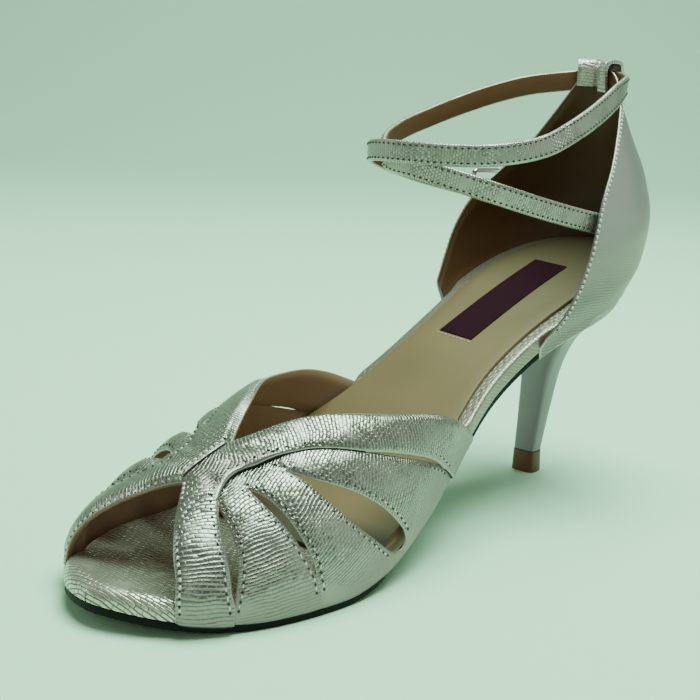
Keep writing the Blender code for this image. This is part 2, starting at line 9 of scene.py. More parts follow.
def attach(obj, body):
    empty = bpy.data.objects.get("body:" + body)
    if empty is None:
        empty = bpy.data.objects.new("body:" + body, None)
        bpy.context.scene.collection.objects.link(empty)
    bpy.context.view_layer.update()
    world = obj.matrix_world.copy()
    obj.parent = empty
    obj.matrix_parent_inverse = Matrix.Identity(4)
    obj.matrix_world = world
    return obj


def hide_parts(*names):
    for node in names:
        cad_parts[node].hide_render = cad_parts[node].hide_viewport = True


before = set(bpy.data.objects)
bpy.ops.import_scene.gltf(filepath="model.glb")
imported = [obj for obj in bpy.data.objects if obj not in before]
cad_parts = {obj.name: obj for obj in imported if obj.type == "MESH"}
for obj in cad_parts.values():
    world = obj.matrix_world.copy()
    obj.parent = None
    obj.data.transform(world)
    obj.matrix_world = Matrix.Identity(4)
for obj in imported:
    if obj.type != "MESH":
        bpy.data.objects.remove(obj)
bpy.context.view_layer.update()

MM = 0.001
GAP = 0.3

# Bottom of the shoe
INSOLE_T = 5.5
HEEL_SEAT_T = 3.0
HEEL_SEAT_END = (-2.0, 34.0)
OUTSOLE_T = 2.2
SOCK_T = 1.0
SOCK_FRONT = 138.0
BREAST_X = 13.0
TOP_PIECE_H = 8.0
HEEL_SIDES = 72

# Upper: where two values stand, the first is medial and the second lateral
VAMP_WALL = 1.5
VAMP_LAP = 0.9
VAMP_PUFF = (0.8, 1.5)
VAMP_START = (77.0, 68.5)
STRIP_PUFF = 0.8
STRIP_THIN = (0.1, 0.3)
CENTRE_LAP = 0.7
BAND_DIP = 0.35
COUNTER_WALL = 1.8
COUNTER_FRONT = (36.0, 25.0)

# Share of the strip's lift and of the vamp's wall that is left at a free edge
LIFT_AT_EDGE = 0.15
WALL_AT_EDGE = 0.4

# Stations over which the vamp ends at the open toe, and between which its lining covers the insole's sides
TOE_OPENING = (188.5, 192.5)
LINING_COVERS = (86, 186)

# How far the leather laps down over the sole's black edge: the upper, the counter, and more before the heel
FOOT_DROP = 0.1
COUNTER_DROP = 0.35
ARCH_DROP = 2.1

# Strap, loop and buckle
STRAP_W = 7.0
STRAP_T = 1.8
STRAP_TIP = 0.35
LOOP_W = 17.0
LOOP_T = 1.2
LOOP_SIDE = -2.5
BUCKLE_L = 16.5
BUCKLE_H = 14.0
BUCKLE_CORNER_R = 1.6
WIRE_R = 0.95
PRONG_R = 0.6
HOLE_R = 0.75
HOLES_BEFORE_BUCKLE = (12.5, 18.0, 23.5, 29.0)

# Label on the sock: its middle, half its length and width, its turn in radians, its thickness
LABEL_AT = (22.2, 0.2)
LABEL_HALF = (24.0, 7.2)
LABEL_TURN = 0.095
LABEL_T = 0.35

# One lizard scale across and along its band, with 1.0 to fill the vector
FINE_SCALE = (1.9, 1.0, 1.0)
STRAP_SCALE = (1.3, 0.9, 1.0)
LONG_SCALE = (2.5, 1.15, 1.0)
BELLY_SCALE = (2.2, 1.5, 1.0)

# Height in metres that a full step of the leather's relief stands for
RELIEF_HEIGHT = 0.0003

# Rows of stitches: spacing, distance from the edge, and depth in the leather
STITCH_PITCH = 2.5
STITCH_INSET = 1.3
STITCH_SINK = 0.1
RIM_PITCH = 1.9
RIM_INSET = 0.9
STRAP_PITCH = 2.1
STRAP_INSET = 1.15
LABEL_PITCH = 1.6

# Plan of the last at the feather edge: station x, medial y, lateral y
PLAN = [
    (-28.8, 4.0, 4.0),
    (-26.2, 14.4, -5.4),
    (-19.5, 23.0, -13.8),
    (-9.0, 28.4, -20.4),
    (3.0, 30.0, -23.4),
    (15.0, 28.6, -24.0),
    (40.0, 25.4, -22.8),
    (60.0, 25.8, -23.0),
    (80.0, 30.2, -26.0),
    (105.0, 37.0, -33.0),
    (130.0, 41.0, -37.0),
    (150.0, 41.2, -37.5),
    (168.0, 38.2, -35.5),
    (183.0, 32.3, -29.0),
    (194.0, 24.8, -20.0),
    (202.0, 13.5, -9.0),
    (205.0, 3.0, 3.0),
]

# Side profile: station x, height of the insole's top
PROFILE = [
    (-28.8, 83.6),
    (-20.0, 81.4),
    (-8.0, 77.2),
    (15.0, 68.4),
    (40.0, 57.2),
    (60.0, 47.3),
    (80.0, 36.3),
    (105.0, 21.5),
    (130.0, 10.5),
    (146.0, 8.0),
    (170.0, 8.0),
    (183.0, 8.7),
    (194.0, 10.2),
    (205.0, 12.3),
]

# Instep ridge of the vamp: station x, height z, sideways y
RIDGE = [
    (60.0, 92.0, 2.0),
    (85.0, 78.0, 3.0),
    (110.0, 63.0, 4.0),
    (135.0, 50.5, 5.0),
    (156.0, 40.3, 5.2),
    (173.0, 32.7, 4.0),
    (190.0, 25.0, 3.0),
    (205.0, 17.5, 2.0),
]

# Roundness of the vamp's section: station x, medial power, lateral power
VAMP_POWER = [
    (60.0, 2.2, 1.85),
    (110.0, 2.2, 1.85),
    (140.0, 2.2, 2.1),
    (165.0, 2.2, 2.25),
    (205.0, 2.2, 2.25),
]

# Fan lines of the vamp: x at each angle, 0 at the feather edge and 90 on the ridge
FAN_ANGLES = (0, 15, 30, 45, 60, 75, 90)
FAN = [
    ("throat", (76.0, 88.0, 101.0, 115.5, 128.0, 139.5, 156.0)),
    ("lap", (91.0, 103.0, 117.0, 131.0, 143.5, 157.5, 163.0)),
    ("slit two", (119.5, 130.0, 139.8, 147.7, 153.8, 160.0, 165.0)),
    ("slit three", (155.0, 157.0, 159.9, 162.3, 164.4, 167.0, 168.0)),
    ("slit four", (181.0, 180.4, 178.8, 177.2, 175.0, 171.6, 170.5)),
    ("toe", (193.5, 193.2, 192.0, 190.5, 187.5, 182.0, 173.0)),
]

# How far each fan line sits further back on the lateral side, at the feather edge
LATERAL_BACK = {"throat": 8.5, "lap": 7.5, "slit two": 6.5, "slit three": 4.0, "slit four": 1.5, "toe": 0.0}

# Half width of each slit along x, medial then lateral: angle, half width
SLITS = {
    "lap": ([(8, 0.0), (14, 0.7), (24, 1.0), (36, 0.8), (44, 0.0)],
            [(8, 0.0), (13, 0.4), (18, 0.6), (24, 0.5), (29, 0.0), (33, 0.0), (39, 0.9), (46, 1.3),
             (54, 0.9), (60, 0.0)]),
    "slit two": ([(2, 0.0), (4, 3.4), (10, 4.9), (20, 5.4), (30, 4.7), (40, 3.1), (50, 1.1), (60, 0.0)],
                 [(2, 0.0), (4, 3.0), (10, 4.4), (20, 4.9), (30, 4.4), (40, 3.4), (50, 2.4), (60, 1.3),
                  (68, 0.0)]),
    "slit three": ([(12, 0.0), (18, 0.7), (26, 1.0), (36, 1.2), (46, 1.3), (56, 1.0), (64, 0.0)],
                   [(20, 0.0), (28, 1.3), (36, 2.0), (46, 2.4), (56, 2.5), (64, 2.1), (71, 1.1), (75, 0.0)]),
    "slit four": ([(8, 0.0), (16, 0.9), (30, 1.5), (42, 1.8), (54, 1.3), (68, 0.0)],
                  [(8, 0.0), (16, 0.6), (30, 1.2), (42, 2.0), (54, 2.2), (62, 1.5), (68, 0.0)]),
}

# Rows of the vamp up one side, as angles, with the largest step between rows and the columns of a band
HALF_ROWS = (0, 2, 4, 8, 12, 16, 20, 24, 28, 32, 36, 40, 44, 48, 52, 56, 60, 64, 68, 72, 75, 79, 84, 90)
ROW_STEP = 1.6
BAND_COLUMNS = 13

# Angle at which the framing strip hooks round the fan bands, how far its ends turn down, and the angles over
# which that turn grows below the knot and fades above it
KNOT = 75
HOOK_TURN = 8.0
HOOK_GROWS = (48, 73)
HOOK_FADES = (77, 89)

# Place of each fan line along the hook, from its throat side to its toe side
HOOK_PLACE = {"throat": 0.5, "lap": 0.0, "slit two": 0.2, "slit three": 0.65, "slit four": 1.0, "toe": 0.5}

# Bands between the fan lines: the first and the last belong to the framing strip
BANDS = [
    ("throat", "lap"),
    ("lap", "slit two"),
    ("slit two", "slit three"),
    ("slit three", "slit four"),
    ("slit four", "toe"),
]

# Pleats gathered at the knot: share of the way from throat to toe edge, depth, half width as a share
PLEATS = [
    (0.30, 0.45, 0.05),
    (0.52, 0.60, 0.06),
    (0.72, 0.40, 0.05),
]
PLEATS_GROW = (58, 72)
PLEATS_FADE = (78, 87)

# Heel counter: height above the seat, bulge at the back, bulge at the sides
COUNTER_BULGE = [
    (0.0, 0.0, 0.0),
    (10.0, 4.4, 4.2),
    (22.0, 6.8, 5.0),
    (36.0, 3.6, 2.8),
    (50.0, -2.2, -3.4),
    (62.0, -5.5, -10.5),
    (70.0, -6.2, -13.0),
]

# Free edge of the counter: station x at the seat, medial height z, lateral height z
COUNTER_EDGE = [
    (-28.8, 145.0, 145.0),
    (-26.0, 142.0, 141.0),
    (-22.5, 137.0, 134.5),
    (-19.0, 133.2, 128.0),
    (-11.0, 127.0, 114.5),
    (-4.0, 121.0, 107.5),
    (4.0, 112.5, 101.0),
    (9.5, 106.2, 95.8),
    (14.0, 99.4, 89.0),
    (19.5, 86.5, 77.5),
    (25.0, 73.0, 67.5),
    (30.0, 64.6, 60.0),
    (36.0, 57.4, 52.0),
]

# Points across and up the counter's grid
COUNTER_GRID = (121, 49)

# Heel stem rings: front x, back x, front z, back z, half width, sideways y
HEEL = [
    (4.0, -4.6, 8.0, 8.0, 4.3, 0.0),
    (3.5, -7.0, 24.0, 24.0, 5.2, 0.9),
    (3.2, -10.6, 39.0, 41.0, 6.7, 1.8),
    (4.0, -15.8, 48.0, 52.0, 10.0, 2.5),
    (6.4, -21.8, 53.5, 60.5, 16.0, 2.9),
    (9.8, -26.4, 57.0, 67.2, 22.2, 3.1),
]

# Top of the heel at the seat: back x, half width, sideways y
HEEL_TOP = (-28.0, 25.9, 3.0)

# Top piece, at the floor and at the heel: front x, back x, half width
TOP_PIECE = [(4.3, -5.0, 4.6), (4.1, -4.7, 4.4)]

# Ankle strap, first pass: from inside the medial counter edge over the instep and back to the loop
FIRST_PASS = [
    (1.0, 31.1, 92.6),
    (10.8, 29.0, 94.3),
    (34.0, 24.0, 99.6),
    (53.0, 16.5, 105.2),
    (63.0, 6.0, 109.2),
    (67.5, -6.0, 112.0),
    (66.5, -18.0, 113.6),
    (59.0, -26.5, 117.5),
    (46.0, -30.5, 121.5),
    (30.0, -31.5, 125.5),
    (14.0, -29.5, 130.0),
    (1.0, -24.5, 134.2),
    (-9.0, -17.5, 137.4),
]

# Ankle strap behind the counter: distance across from the centre, height z
BACK_PASS = [(-16, 139.6), (-11, 140.2), (-4, 140.5), (4, 140.4), (11, 140.0), (16, 139.4)]

# Ankle strap, second pass: from the loop over the instep to the lateral buckle
SECOND_PASS = [
    (-10.5, 20.0, 138.0),
    (8.0, 23.6, 131.2),
    (25.0, 25.0, 125.4),
    (42.0, 24.5, 120.4),
    (58.0, 18.0, 117.8),
    (68.0, 7.0, 117.2),
    (72.6, -6.0, 117.2),
    (71.8, -18.0, 116.8),
    (64.0, -28.0, 115.0),
    (48.0, -32.0, 110.6),
    (31.0, -32.0, 106.2),
    (17.0, -30.4, 103.0),
    (6.0, -29.1, 100.8),
    (-3.0, -28.3, 99.8),
    (-12.0, -28.1, 99.8),
    (-20.0, -29.2, 100.6),
    (-27.0, -31.2, 101.6),
]
BUCKLE_AT = (-5.0, -28.2, 99.8)

# The strap faces away from the ankle, an oval this much longer than wide, and leans on its medial side
ANKLE_AT = (20.0, 0.0, 0.0)
ANKLE_OVAL = (1.5, 1.0, 1.0)
STRAP_LEAN = math.radians(26)

# Material numbers of a wall: outer skin, lining and rim, and on the vamp three more: toe skin, painted shade
# under a step, lateral skin
SKIN, LINING, RIM, TOE_SKIN, STEP_SHADE, LATERAL_SKIN = range(6)


# Curves and the last

def curve(table, column):
    """Monotone cubic through one column of a table, read by its first column."""
    xs = np.array([row[0] for row in table], float)
    ys = np.array([row[column] for row in table], float)
    step = np.diff(xs)
    rise = np.diff(ys) / step
    slope = np.zeros_like(ys)
    slope[0], slope[-1] = rise[0], rise[-1]
    for i in range(1, len(xs) - 1):
        if rise[i - 1] * rise[i] > 0:
            a = 2 * step[i] + step[i - 1]
            b = step[i] + 2 * step[i - 1]
            slope[i] = (a + b) / (a / rise[i - 1] + b / rise[i])

    def at(x):
        x = np.clip(np.asarray(x, float), xs[0], xs[-1])
        i = np.clip(np.searchsorted(xs, x) - 1, 0, len(step) - 1)
        t = (x - xs[i]) / step[i]
        low = ys[i] * (1 + 2 * t) * (1 - t) ** 2 + slope[i] * step[i] * t * (1 - t) ** 2
        high = ys[i + 1] * t * t * (3 - 2 * t) + slope[i + 1] * step[i] * t * t * (t - 1)
        return low + high

    return at


def smooth_path(points, count, closed=False):
    """Points evenly spaced along a Catmull-Rom curve."""
    p = np.array(points, float)
    if closed:
        p = np.vstack([p[-1], p, p[0], p[1]])
    else:
        p = np.vstack([2 * p[0] - p[1], p, 2 * p[-1] - p[-2]])
    dense = []
    for i in range(1, len(p) - 2):
        knots = [0.0]
        for j in range(3):
            knots.append(knots[-1] + np.linalg.norm(p[i + j] - p[i + j - 1]) ** 0.5)
        t = np.linspace(knots[1], knots[2], 24, endpoint=False)[:, None]
        a = [((knots[j + 1] - t) * p[i + j - 1] + (t - knots[j]) * p[i + j]) / (knots[j + 1] - knots[j])
             for j in range(3)]
        b = [((knots[j + 2] - t) * a[j] + (t - knots[j]) * a[j + 1]) / (knots[j + 2] - knots[j])
             for j in range(2)]
        dense.append(((knots[2] - t) * b[0] + (t - knots[1]) * b[1]) / (knots[2] - knots[1]))
    dense = np.vstack(dense + [p[-2][None]])
    want = np.linspace(0, 1, count + 1 if closed else count)
    run = run_along(dense)
    out = np.column_stack([np.interp(want * run[-1], run, dense[:, k]) for k in range(p.shape[1])])
    return out[:-1] if closed else out


def run_along(points):
    """Length run through at each point of a path."""
    return np.r_[0, np.cumsum(np.linalg.norm(np.diff(points, axis=0), axis=1))]


def unit(v):
    return v / np.linalg.norm(v, axis=-1, keepdims=True)


def between(x, start, stop):
    """Smooth step from 0 to 1."""
    t = np.clip((x - start) / (stop - start), 0, 1)
    return t * t * (3 - 2 * t)


insole_top = curve(PROFILE, 1)
ridge_z = curve(RIDGE, 1)
ridge_y = curve(RIDGE, 2)
roundness = curve(VAMP_POWER, 1), curve(VAMP_POWER, 2)
bulge_back = curve(COUNTER_BULGE, 1)
bulge_side = curve(COUNTER_BULGE, 2)
counter_edge = curve(COUNTER_EDGE, 1), curve(COUNTER_EDGE, 2)
fan_x = {name: curve(list(zip(FAN_ANGLES, xs)), 1) for name, xs in FAN}
slit_half = {name: [curve(rows, 1) for rows in sides] for name, sides in SLITS.items()}

# The closed plan outline, medial side forward and lateral side back, with its outward normal
round_plan = [(x, medial) for x, medial, _ in PLAN] + [(x, lateral) for x, _, lateral in PLAN[-2:0:-1]]
OUTLINE = smooth_path(round_plan, 640, True)
TANGENT = unit(np.roll(OUTLINE, -1, 0) - np.roll(OUTLINE, 1, 0))
NORMAL = np.column_stack([-TANGENT[:, 1], TANGENT[:, 0]])
TIP = int(OUTLINE[:, 0].argmax())
LATERAL = np.arange(len(OUTLINE)) > TIP


def seat(x):
    """Underside of the insole, on which the upper's lower edge stands."""
    return insole_top(x) - INSOLE_T - HEEL_SEAT_T * (1 - between(x, *HEEL_SEAT_END))


def sock_top(x):
    """Upper face of the sock, on which the label lies."""
    return insole_top(x) + GAP + SOCK_T


def plan_sides(inset):
    """Medial and lateral y as functions of x for an outline drawn in by inset(x, on the lateral side)."""
    p = OUTLINE - NORMAL * inset(OUTLINE[:, 0], LATERAL)[:, None]
    front = int(p[:, 0].argmax())
    medial, lateral = p[:front + 1], np.vstack([p[front:], p[:1]])[::-1]
    medial = medial[np.argsort(medial[:, 0])]
    lateral = lateral[np.argsort(lateral[:, 0])]
    ends = (p[:, 0].min(), p[:, 0].max())
    return (lambda x: np.interp(x, medial[:, 0], medial[:, 1]),
            lambda x: np.interp(x, lateral[:, 0], lateral[:, 1]), ends)


feather_medial, feather_lateral, _ = plan_sides(lambda x, lateral: 0.0 * x)


def in_counter(x, lateral):
    """1 inside the counter and 0 in front of it."""
    front = np.where(lateral, COUNTER_FRONT[1], COUNTER_FRONT[0])
    return 1 - between(x, front - 9, front - 2)


def insole_inset(x, lateral):
    """Inset of the insole's upper part: it reaches the counter's lining and goes under the vamp."""
    start = np.where(lateral, VAMP_START[1], VAMP_START[0])
    under_vamp = between(x, start, start + 7) * (1 - between(x, *TOE_OPENING))
    return 0.3 - 1.5 * in_counter(x, lateral) + (2.5 + 0.7 * between(x, 160.0, 190.0)) * under_vamp


def insole_foot(x, lateral):
    """Inset of the insole's lower edge, which stays inside the counter's foot."""
    return insole_inset(x, lateral) + 3.6 * in_counter(x, lateral)


def insole_roll(x):
    """Radius of the insole's rolled upper edge, larger at the toe."""
    return 1.2 + 3.0 * between(x, 184.0, 197.0)


def sock_inset(x, lateral):
    """Inset of the sock, the same on both sides."""
    return 4.6 - 1.5 * between(x, 76.0, 92.0)


def outsole_inset(x, lateral):
    """Inset of the outsole, the same on both sides and drawn in under the arch's front."""
    return 0.45 + 2.2 * between(x, 78.0, 92.0) * (1 - between(x, 118.0, 134.0))


# Materials

def linear(hex_colour):
    """An sRGB hex colour as linear RGBA."""
    parts = [int(hex_colour[i:i + 2], 16) / 255 for i in (1, 3, 5)]
    return (*[c / 12.92 if c < 0.04045 else ((c + 0.055) / 1.055) ** 2.4 for c in parts], 1.0)


def add(tree, kind, inputs=None, out=0, **settings):
    """Add a node: settings are its properties, inputs its sockets' constants or links. Gives back one output
    by its number or name, or all of them where out is None."""
    made = tree.nodes.new(kind)
    for key, value in settings.items():
        setattr(made, key, value)
    for key, value in (inputs or {}).items():
        if isinstance(value, bpy.types.NodeSocket):
            tree.links.new(value, made.inputs[key])
        else:
            made.inputs[key].default_value = value
    return made.outputs if out is None else made.outputs[out]


def new_material(name):
    """A material and its tree, with the shader that the tree feeds."""
    made = bpy.data.materials.new(name)
    made.use_nodes = True
    return made, made.node_tree, made.node_tree.nodes["Principled BSDF"]


def feed(tree, shader, **sockets):
    """Set or link the shader's own sockets, named with underscores for spaces."""
    for key, value in sockets.items():
        socket = shader.inputs[key.replace("_", " ")]
        if isinstance(value, bpy.types.NodeSocket):
            tree.links.new(value, socket)
        else:
            socket.default_value = value


def foil_leather(name, deep, bright, scale, relief, flat_from, rough, metallic=0.9, fade=None):
    """Silver foil on lizard-embossed leather, in millimetres of the piece's own UV: rows of small scales that
    each catch the light their own way, with duller grooves between them and patches pressed flat. A fade
    presses them flat toward one end of the piece: where they are flattest, where they stand, how much is
    left, and the tone of the foil at the flat end."""
    made, tree, shader = new_material(name)
    uv = add(tree, "ShaderNodeUVMap", uv_map="leather")

    # Staggered rows of scales, swayed a little, with the place inside each scale
    drift = add(tree, "ShaderNodeTexNoise", {"Vector": uv, "Scale": 0.1, "Detail": 1.0}, "Color")
    sway_mm = (3.0, 2.5, 0.0)
    swayed = add(tree, "ShaderNodeVectorMath", {0: drift, 1: sway_mm, 2: uv}, operation="MULTIPLY_ADD")
    counted = add(tree, "ShaderNodeVectorMath", {0: swayed, 1: scale}, operation="DIVIDE")
    place = add(tree, "ShaderNodeSeparateXYZ", {0: counted}, None)
    row = add(tree, "ShaderNodeMath", {0: place["Y"]}, operation="FLOOR")
    odd = add(tree, "ShaderNodeMath", {0: row, 1: 2.0}, operation="FLOORED_MODULO")
    across = add(tree, "ShaderNodeMath", {0: odd, 1: 0.5, 2: place["X"]}, operation="MULTIPLY_ADD")
    bond = add(tree, "ShaderNodeCombineXYZ", {"X": across, "Y": place["Y"]})
    cell = add(tree, "ShaderNodeVectorMath", {0: bond}, operation="FLOOR")
    inside = add(tree, "ShaderNodeVectorMath", {0: bond, 1: cell}, operation="SUBTRACT")
    centred = add(tree, "ShaderNodeVectorMath", {0: inside, 1: (0.5, 0.5, 0.0)}, operation="SUBTRACT")

    # Grooves at a scale's ends and flanks
    edges = add(tree, "ShaderNodeVectorMath", {0: centred}, operation="ABSOLUTE")
    side = add(tree, "ShaderNodeSeparateXYZ", {0: edges}, None)
    ends = add(tree, "ShaderNodeMapRange",
               {"Value": side["X"], "From Min": 0.4, "From Max": 0.5, "To Max": 0.8},
               interpolation_type="SMOOTHSTEP")
    flanks = add(tree, "ShaderNodeMapRange", {"Value": side["Y"], "From Min": 0.24, "From Max": 0.5},
                 interpolation_type="SMOOTHSTEP")
    gap = add(tree, "ShaderNodeMath", {0: ends, 1: flanks}, operation="MAXIMUM")

    # How far the scales stand: less in worn patches and toward the flat end
    worn = add(tree, "ShaderNodeTexNoise", {"Vector": uv, "Scale": 0.07, "Detail": 2.0})
    standing = add(tree, "ShaderNodeMapRange", {"Value": worn, "From Min": flat_from + 0.1,
                                                "From Max": flat_from - 0.06, "To Min": 0.15})
    if fade:
        flattest, upright, left_standing, flat_tone = fade
        along = add(tree, "ShaderNodeSeparateXYZ", {0: uv}, "Y")
        pressed = add(tree, "ShaderNodeMapRange", {"Value": along, "From Min": flattest, "From Max": upright,
                                                   "To Min": left_standing})
        standing = add(tree, "ShaderNodeMath", {0: standing, 1: pressed}, operation="MULTIPLY")
    groove = add(tree, "ShaderNodeMath", {0: gap, 1: standing}, operation="MULTIPLY")
    colour = add(tree, "ShaderNodeMix", {"Factor": groove, "A": linear(bright), "B": linear(deep)}, "Result",
                 data_type="RGBA")
    if fade:
        flat = add(tree, "ShaderNodeMapRange", {"Value": along, "From Min": upright, "From Max": flattest})
        colour = add(tree, "ShaderNodeMix", {"Factor": flat, "A": colour, "B": linear(flat_tone)}, "Result",
                     data_type="RGBA")
    lustre = add(tree, "ShaderNodeMapRange", {"Value": standing, "To Min": rough + 0.14, "To Max": rough})
    dulled = add(tree, "ShaderNodeMath", {0: groove, 1: 0.3, 2: lustre}, operation="MULTIPLY_ADD")

    # Relief: each scale domed and leaning its own way, cut by its grooves, with fine pores over all
    chance = add(tree, "ShaderNodeTexWhiteNoise", {"Vector": cell}, "Color", noise_dimensions="3D")
    lean = add(tree, "ShaderNodeVectorMath", {0: chance, 1: (0.5, 0.5, 0.5)}, operation="SUBTRACT")
    tilt = add(tree, "ShaderNodeVectorMath", {0: lean, 1: centred}, "Value", operation="DOT_PRODUCT")
    reach = add(tree, "ShaderNodeVectorMath", {0: centred, 1: centred}, "Value", operation="DOT_PRODUCT")
    domed = add(tree, "ShaderNodeMath", {0: reach, 1: -0.6, 2: tilt}, operation="MULTIPLY_ADD")
    cut = add(tree, "ShaderNodeMath", {0: gap, 1: -0.3, 2: domed}, operation="MULTIPLY_ADD")
    raised = add(tree, "ShaderNodeMath", {0: cut, 1: standing}, operation="MULTIPLY")
    pores = add(tree, "ShaderNodeTexNoise", {"Vector": uv, "Scale": 1.6, "Detail": 2.0})
    height = add(tree, "ShaderNodeMath", {0: pores, 1: 0.2, 2: raised}, operation="MULTIPLY_ADD")
    bump = add(tree, "ShaderNodeBump", {"Strength": relief, "Distance": RELIEF_HEIGHT, "Height": height})
    feed(tree, shader, Base_Color=colour, Metallic=metallic, Roughness=dulled, Normal=bump)
    return made


def grained(name, low, high, grain_mm, depth, rough, sheen=0.0, painted_shade=()):
    """Leather without foil: a soft drift between two tones and a fine grain that breaks up the gloss. Each
    painted shade at an end gives its tone and the x in metres where it begins and where it is full."""
    made, tree, shader = new_material(name)
    place = add(tree, "ShaderNodeTexCoord", out="Object")
    drift = add(tree, "ShaderNodeTexNoise", {"Vector": place, "Scale": 45.0, "Detail": 3.0})
    tone = add(tree, "ShaderNodeMix", {"Factor": drift, "A": linear(low), "B": linear(high)}, "Result",
               data_type="RGBA")
    for shade_tone, begin, full in painted_shade:
        along = add(tree, "ShaderNodeSeparateXYZ", {0: place}, "X")
        share = add(tree, "ShaderNodeMapRange", {"Value": along, "From Min": begin, "From Max": full})
        tone = add(tree, "ShaderNodeMix", {"Factor": share, "A": tone, "B": linear(shade_tone)}, "Result",
                   data_type="RGBA")
    grain = add(tree, "ShaderNodeTexNoise", {"Vector": place, "Scale": 1.0 / (grain_mm * MM), "Detail": 3.0})
    bump = add(tree, "ShaderNodeBump", {"Strength": depth, "Distance": RELIEF_HEIGHT, "Height": grain})
    feed(tree, shader, Base_Color=tone, Roughness=rough, Sheen_Weight=sheen, Normal=bump)
    return made


def plain(name, colour, metallic, rough, gloss=0.5):
    """An even finish, set on the shader alone."""
    made, tree, shader = new_material(name)
    feed(tree, shader, Base_Color=linear(colour), Metallic=metallic, Roughness=rough,
         Specular_IOR_Level=gloss)
    return made


def woven(name, low, high, thread_mm):
    """Plain woven cloth: crossing threads that give a faint dark sparkle."""
    made, tree, shader = new_material(name)
    place = add(tree, "ShaderNodeTexCoord", out="Object")
    threads = {"Vector": place, "Scale": 0.314 / (thread_mm * MM), "Distortion": 0.0}
    warp, weft = [add(tree, "ShaderNodeTexWave", threads, "Fac", bands_direction=axis) for axis in ("X", "Y")]
    cross = add(tree, "ShaderNodeMath", {0: warp, 1: weft}, operation="MULTIPLY")
    tone = add(tree, "ShaderNodeMix", {"Factor": cross, "A": linear(low), "B": linear(high)}, "Result",
               data_type="RGBA")
    bump = add(tree, "ShaderNodeBump", {"Strength": 0.5, "Distance": 0.0002, "Height": cross})
    feed(tree, shader, Base_Color=tone, Roughness=0.8, Specular_IOR_Level=0.06, Normal=bump)
    return made


# silver lizard foil of the upper: small glittering scales with dull grooves, pressed flat toward the sole
vamp_foil = foil_leather("silver lizard foil, upper", "#8c7f7d", "#a89998", FINE_SCALE, relief=0.9,
                         flat_from=0.56, rough=0.23, fade=(1.0, 16.0, 0.5, "#958082"))
# the same skin where its scales are longer, on the toe strip: rows of bright dashes
toe_foil = foil_leather("silver lizard foil, toe", "#8c7f7d", "#a89998", LONG_SCALE, relief=0.9,
                        flat_from=0.56, rough=0.23, fade=(1.0, 12.0, 0.55, "#958082"))
# the same skin on the lateral side, a lighter copy that is painted light for the side the lamps light less:
# satin with small glints along the strip
lateral_foil_lit = foil_leather("silver lizard foil, lateral, painted lighter", "#948685", "#ac9c9b", FINE_SCALE, relief=0.85,
                            flat_from=0.54, rough=0.25)
# the same skin from the belly on the insole: wide rows with brown dull grooves, flatter toward the heel
insole_foil = foil_leather("silver lizard foil, insole", "#705e52", "#d1bfbc", BELLY_SCALE, relief=0.9,
                           flat_from=0.62, rough=0.22, metallic=0.7, fade=(95.0, 165.0, 0.5, "#9c8881"))
# the same foil on the counter, pressed flat over the last: satin grey-green with faint scales low down; its
# lighter top is painted light
counter_foil = foil_leather("silver lizard foil, counter", "#7d6c6e", "#8e7a7c", FINE_SCALE, relief=0.3,
                            flat_from=0.56, rough=0.34, fade=(96.0, 70.0, 0.0, "#bbabad"))
# the same foil on the narrow strap: broken sparkle
strap_foil = foil_leather("silver lizard foil, strap", "#8c7f7d", "#b6a5a4", STRAP_SCALE, relief=0.8,
                          flat_from=0.55, rough=0.27, metallic=0.75)
# the same foil on the loop, a lighter copy that is painted light for the top of the counter: a brighter satin
# over its fold
loop_foil_lit = foil_leather("silver lizard foil, loop, painted lighter", "#a39491", "#d2c0bf", FINE_SCALE, relief=0.8,
                         flat_from=0.55, rough=0.3)
# smooth foil of the folded edges: a clean highlight along the edge
edge_foil = plain("folded silver edge", "#af9b9e", metallic=0.85, rough=0.3)
# painted shade under the strip's edge, where its shadow falls: a thin dark line
step_shade = plain("painted shade under strip edge", "#352c2b", metallic=0.0, rough=0.6)
# smooth foil over the heel: satin grey-green without scales
heel_foil = plain("smooth silver heel cover", "#94828b", metallic=0.2, rough=0.48)
# tan lining leather of the sock: warm and matt with a fine grain, painted shade at the heel and at its front
# under the bands
sock_leather = grained("tan sock leather", "#7a573c", "#866245", grain_mm=0.5, depth=0.12, rough=0.55,
                       painted_shade=[("#543d29", 0.045, -0.025), ("#3f2b1d", 0.121, 0.127)])
# tan lining inside the vamp: the same leather, a little browner
vamp_lining = grained("tan lining leather", "#9a725c", "#ad816c", grain_mm=0.5, depth=0.15, rough=0.6)
# dark brown lining of the counter: deep and matt
counter_lining = grained("dark brown lining leather", "#4c2410", "#5e3219", grain_mm=0.6, depth=0.2,
                         rough=0.6)
# brown lining of the strap: matt and a shade lighter
strap_lining = grained("brown strap lining", "#6f3e25", "#814c2f", grain_mm=0.5, depth=0.2, rough=0.55)
# black edge dye of the outsole: a thin dark line under the shoe
sole_black = plain("black sole edge", "#0b0807", metallic=0.0, rough=0.6, gloss=0.15)
# buffed leather underneath: dull brown-grey nap
sole_suede = grained("buffed sole leather", "#5b4240", "#6e514e", grain_mm=0.4, depth=0.4, rough=0.9,
                     sheen=0.2)
# brown plastic top piece under the heel: even and half matt
lift_brown = plain("brown top piece", "#6f3d27", metallic=0.0, rough=0.45)
# nickel of the buckle: clear mirror highlights
nickel = plain("polished nickel", "#f1cbda", metallic=1.0, rough=0.16)
# woven cloth of the label: a flat dark patch with a faint crossing of threads
label_cloth = woven("dark woven label", "#230a17", "#4b1831", thread_mm=0.45)
# dark thread sunk in its holes, with painted shade of the holes: a row of small dark dots
thread_with_hole_shade = plain("dark thread with painted hole shade", "#282423", metallic=0.1, rough=0.5)
# bright thread along the rims: a line of small glints
thread_bright = plain("silver stitching thread", "#f6dadf", metallic=0.3, rough=0.4)
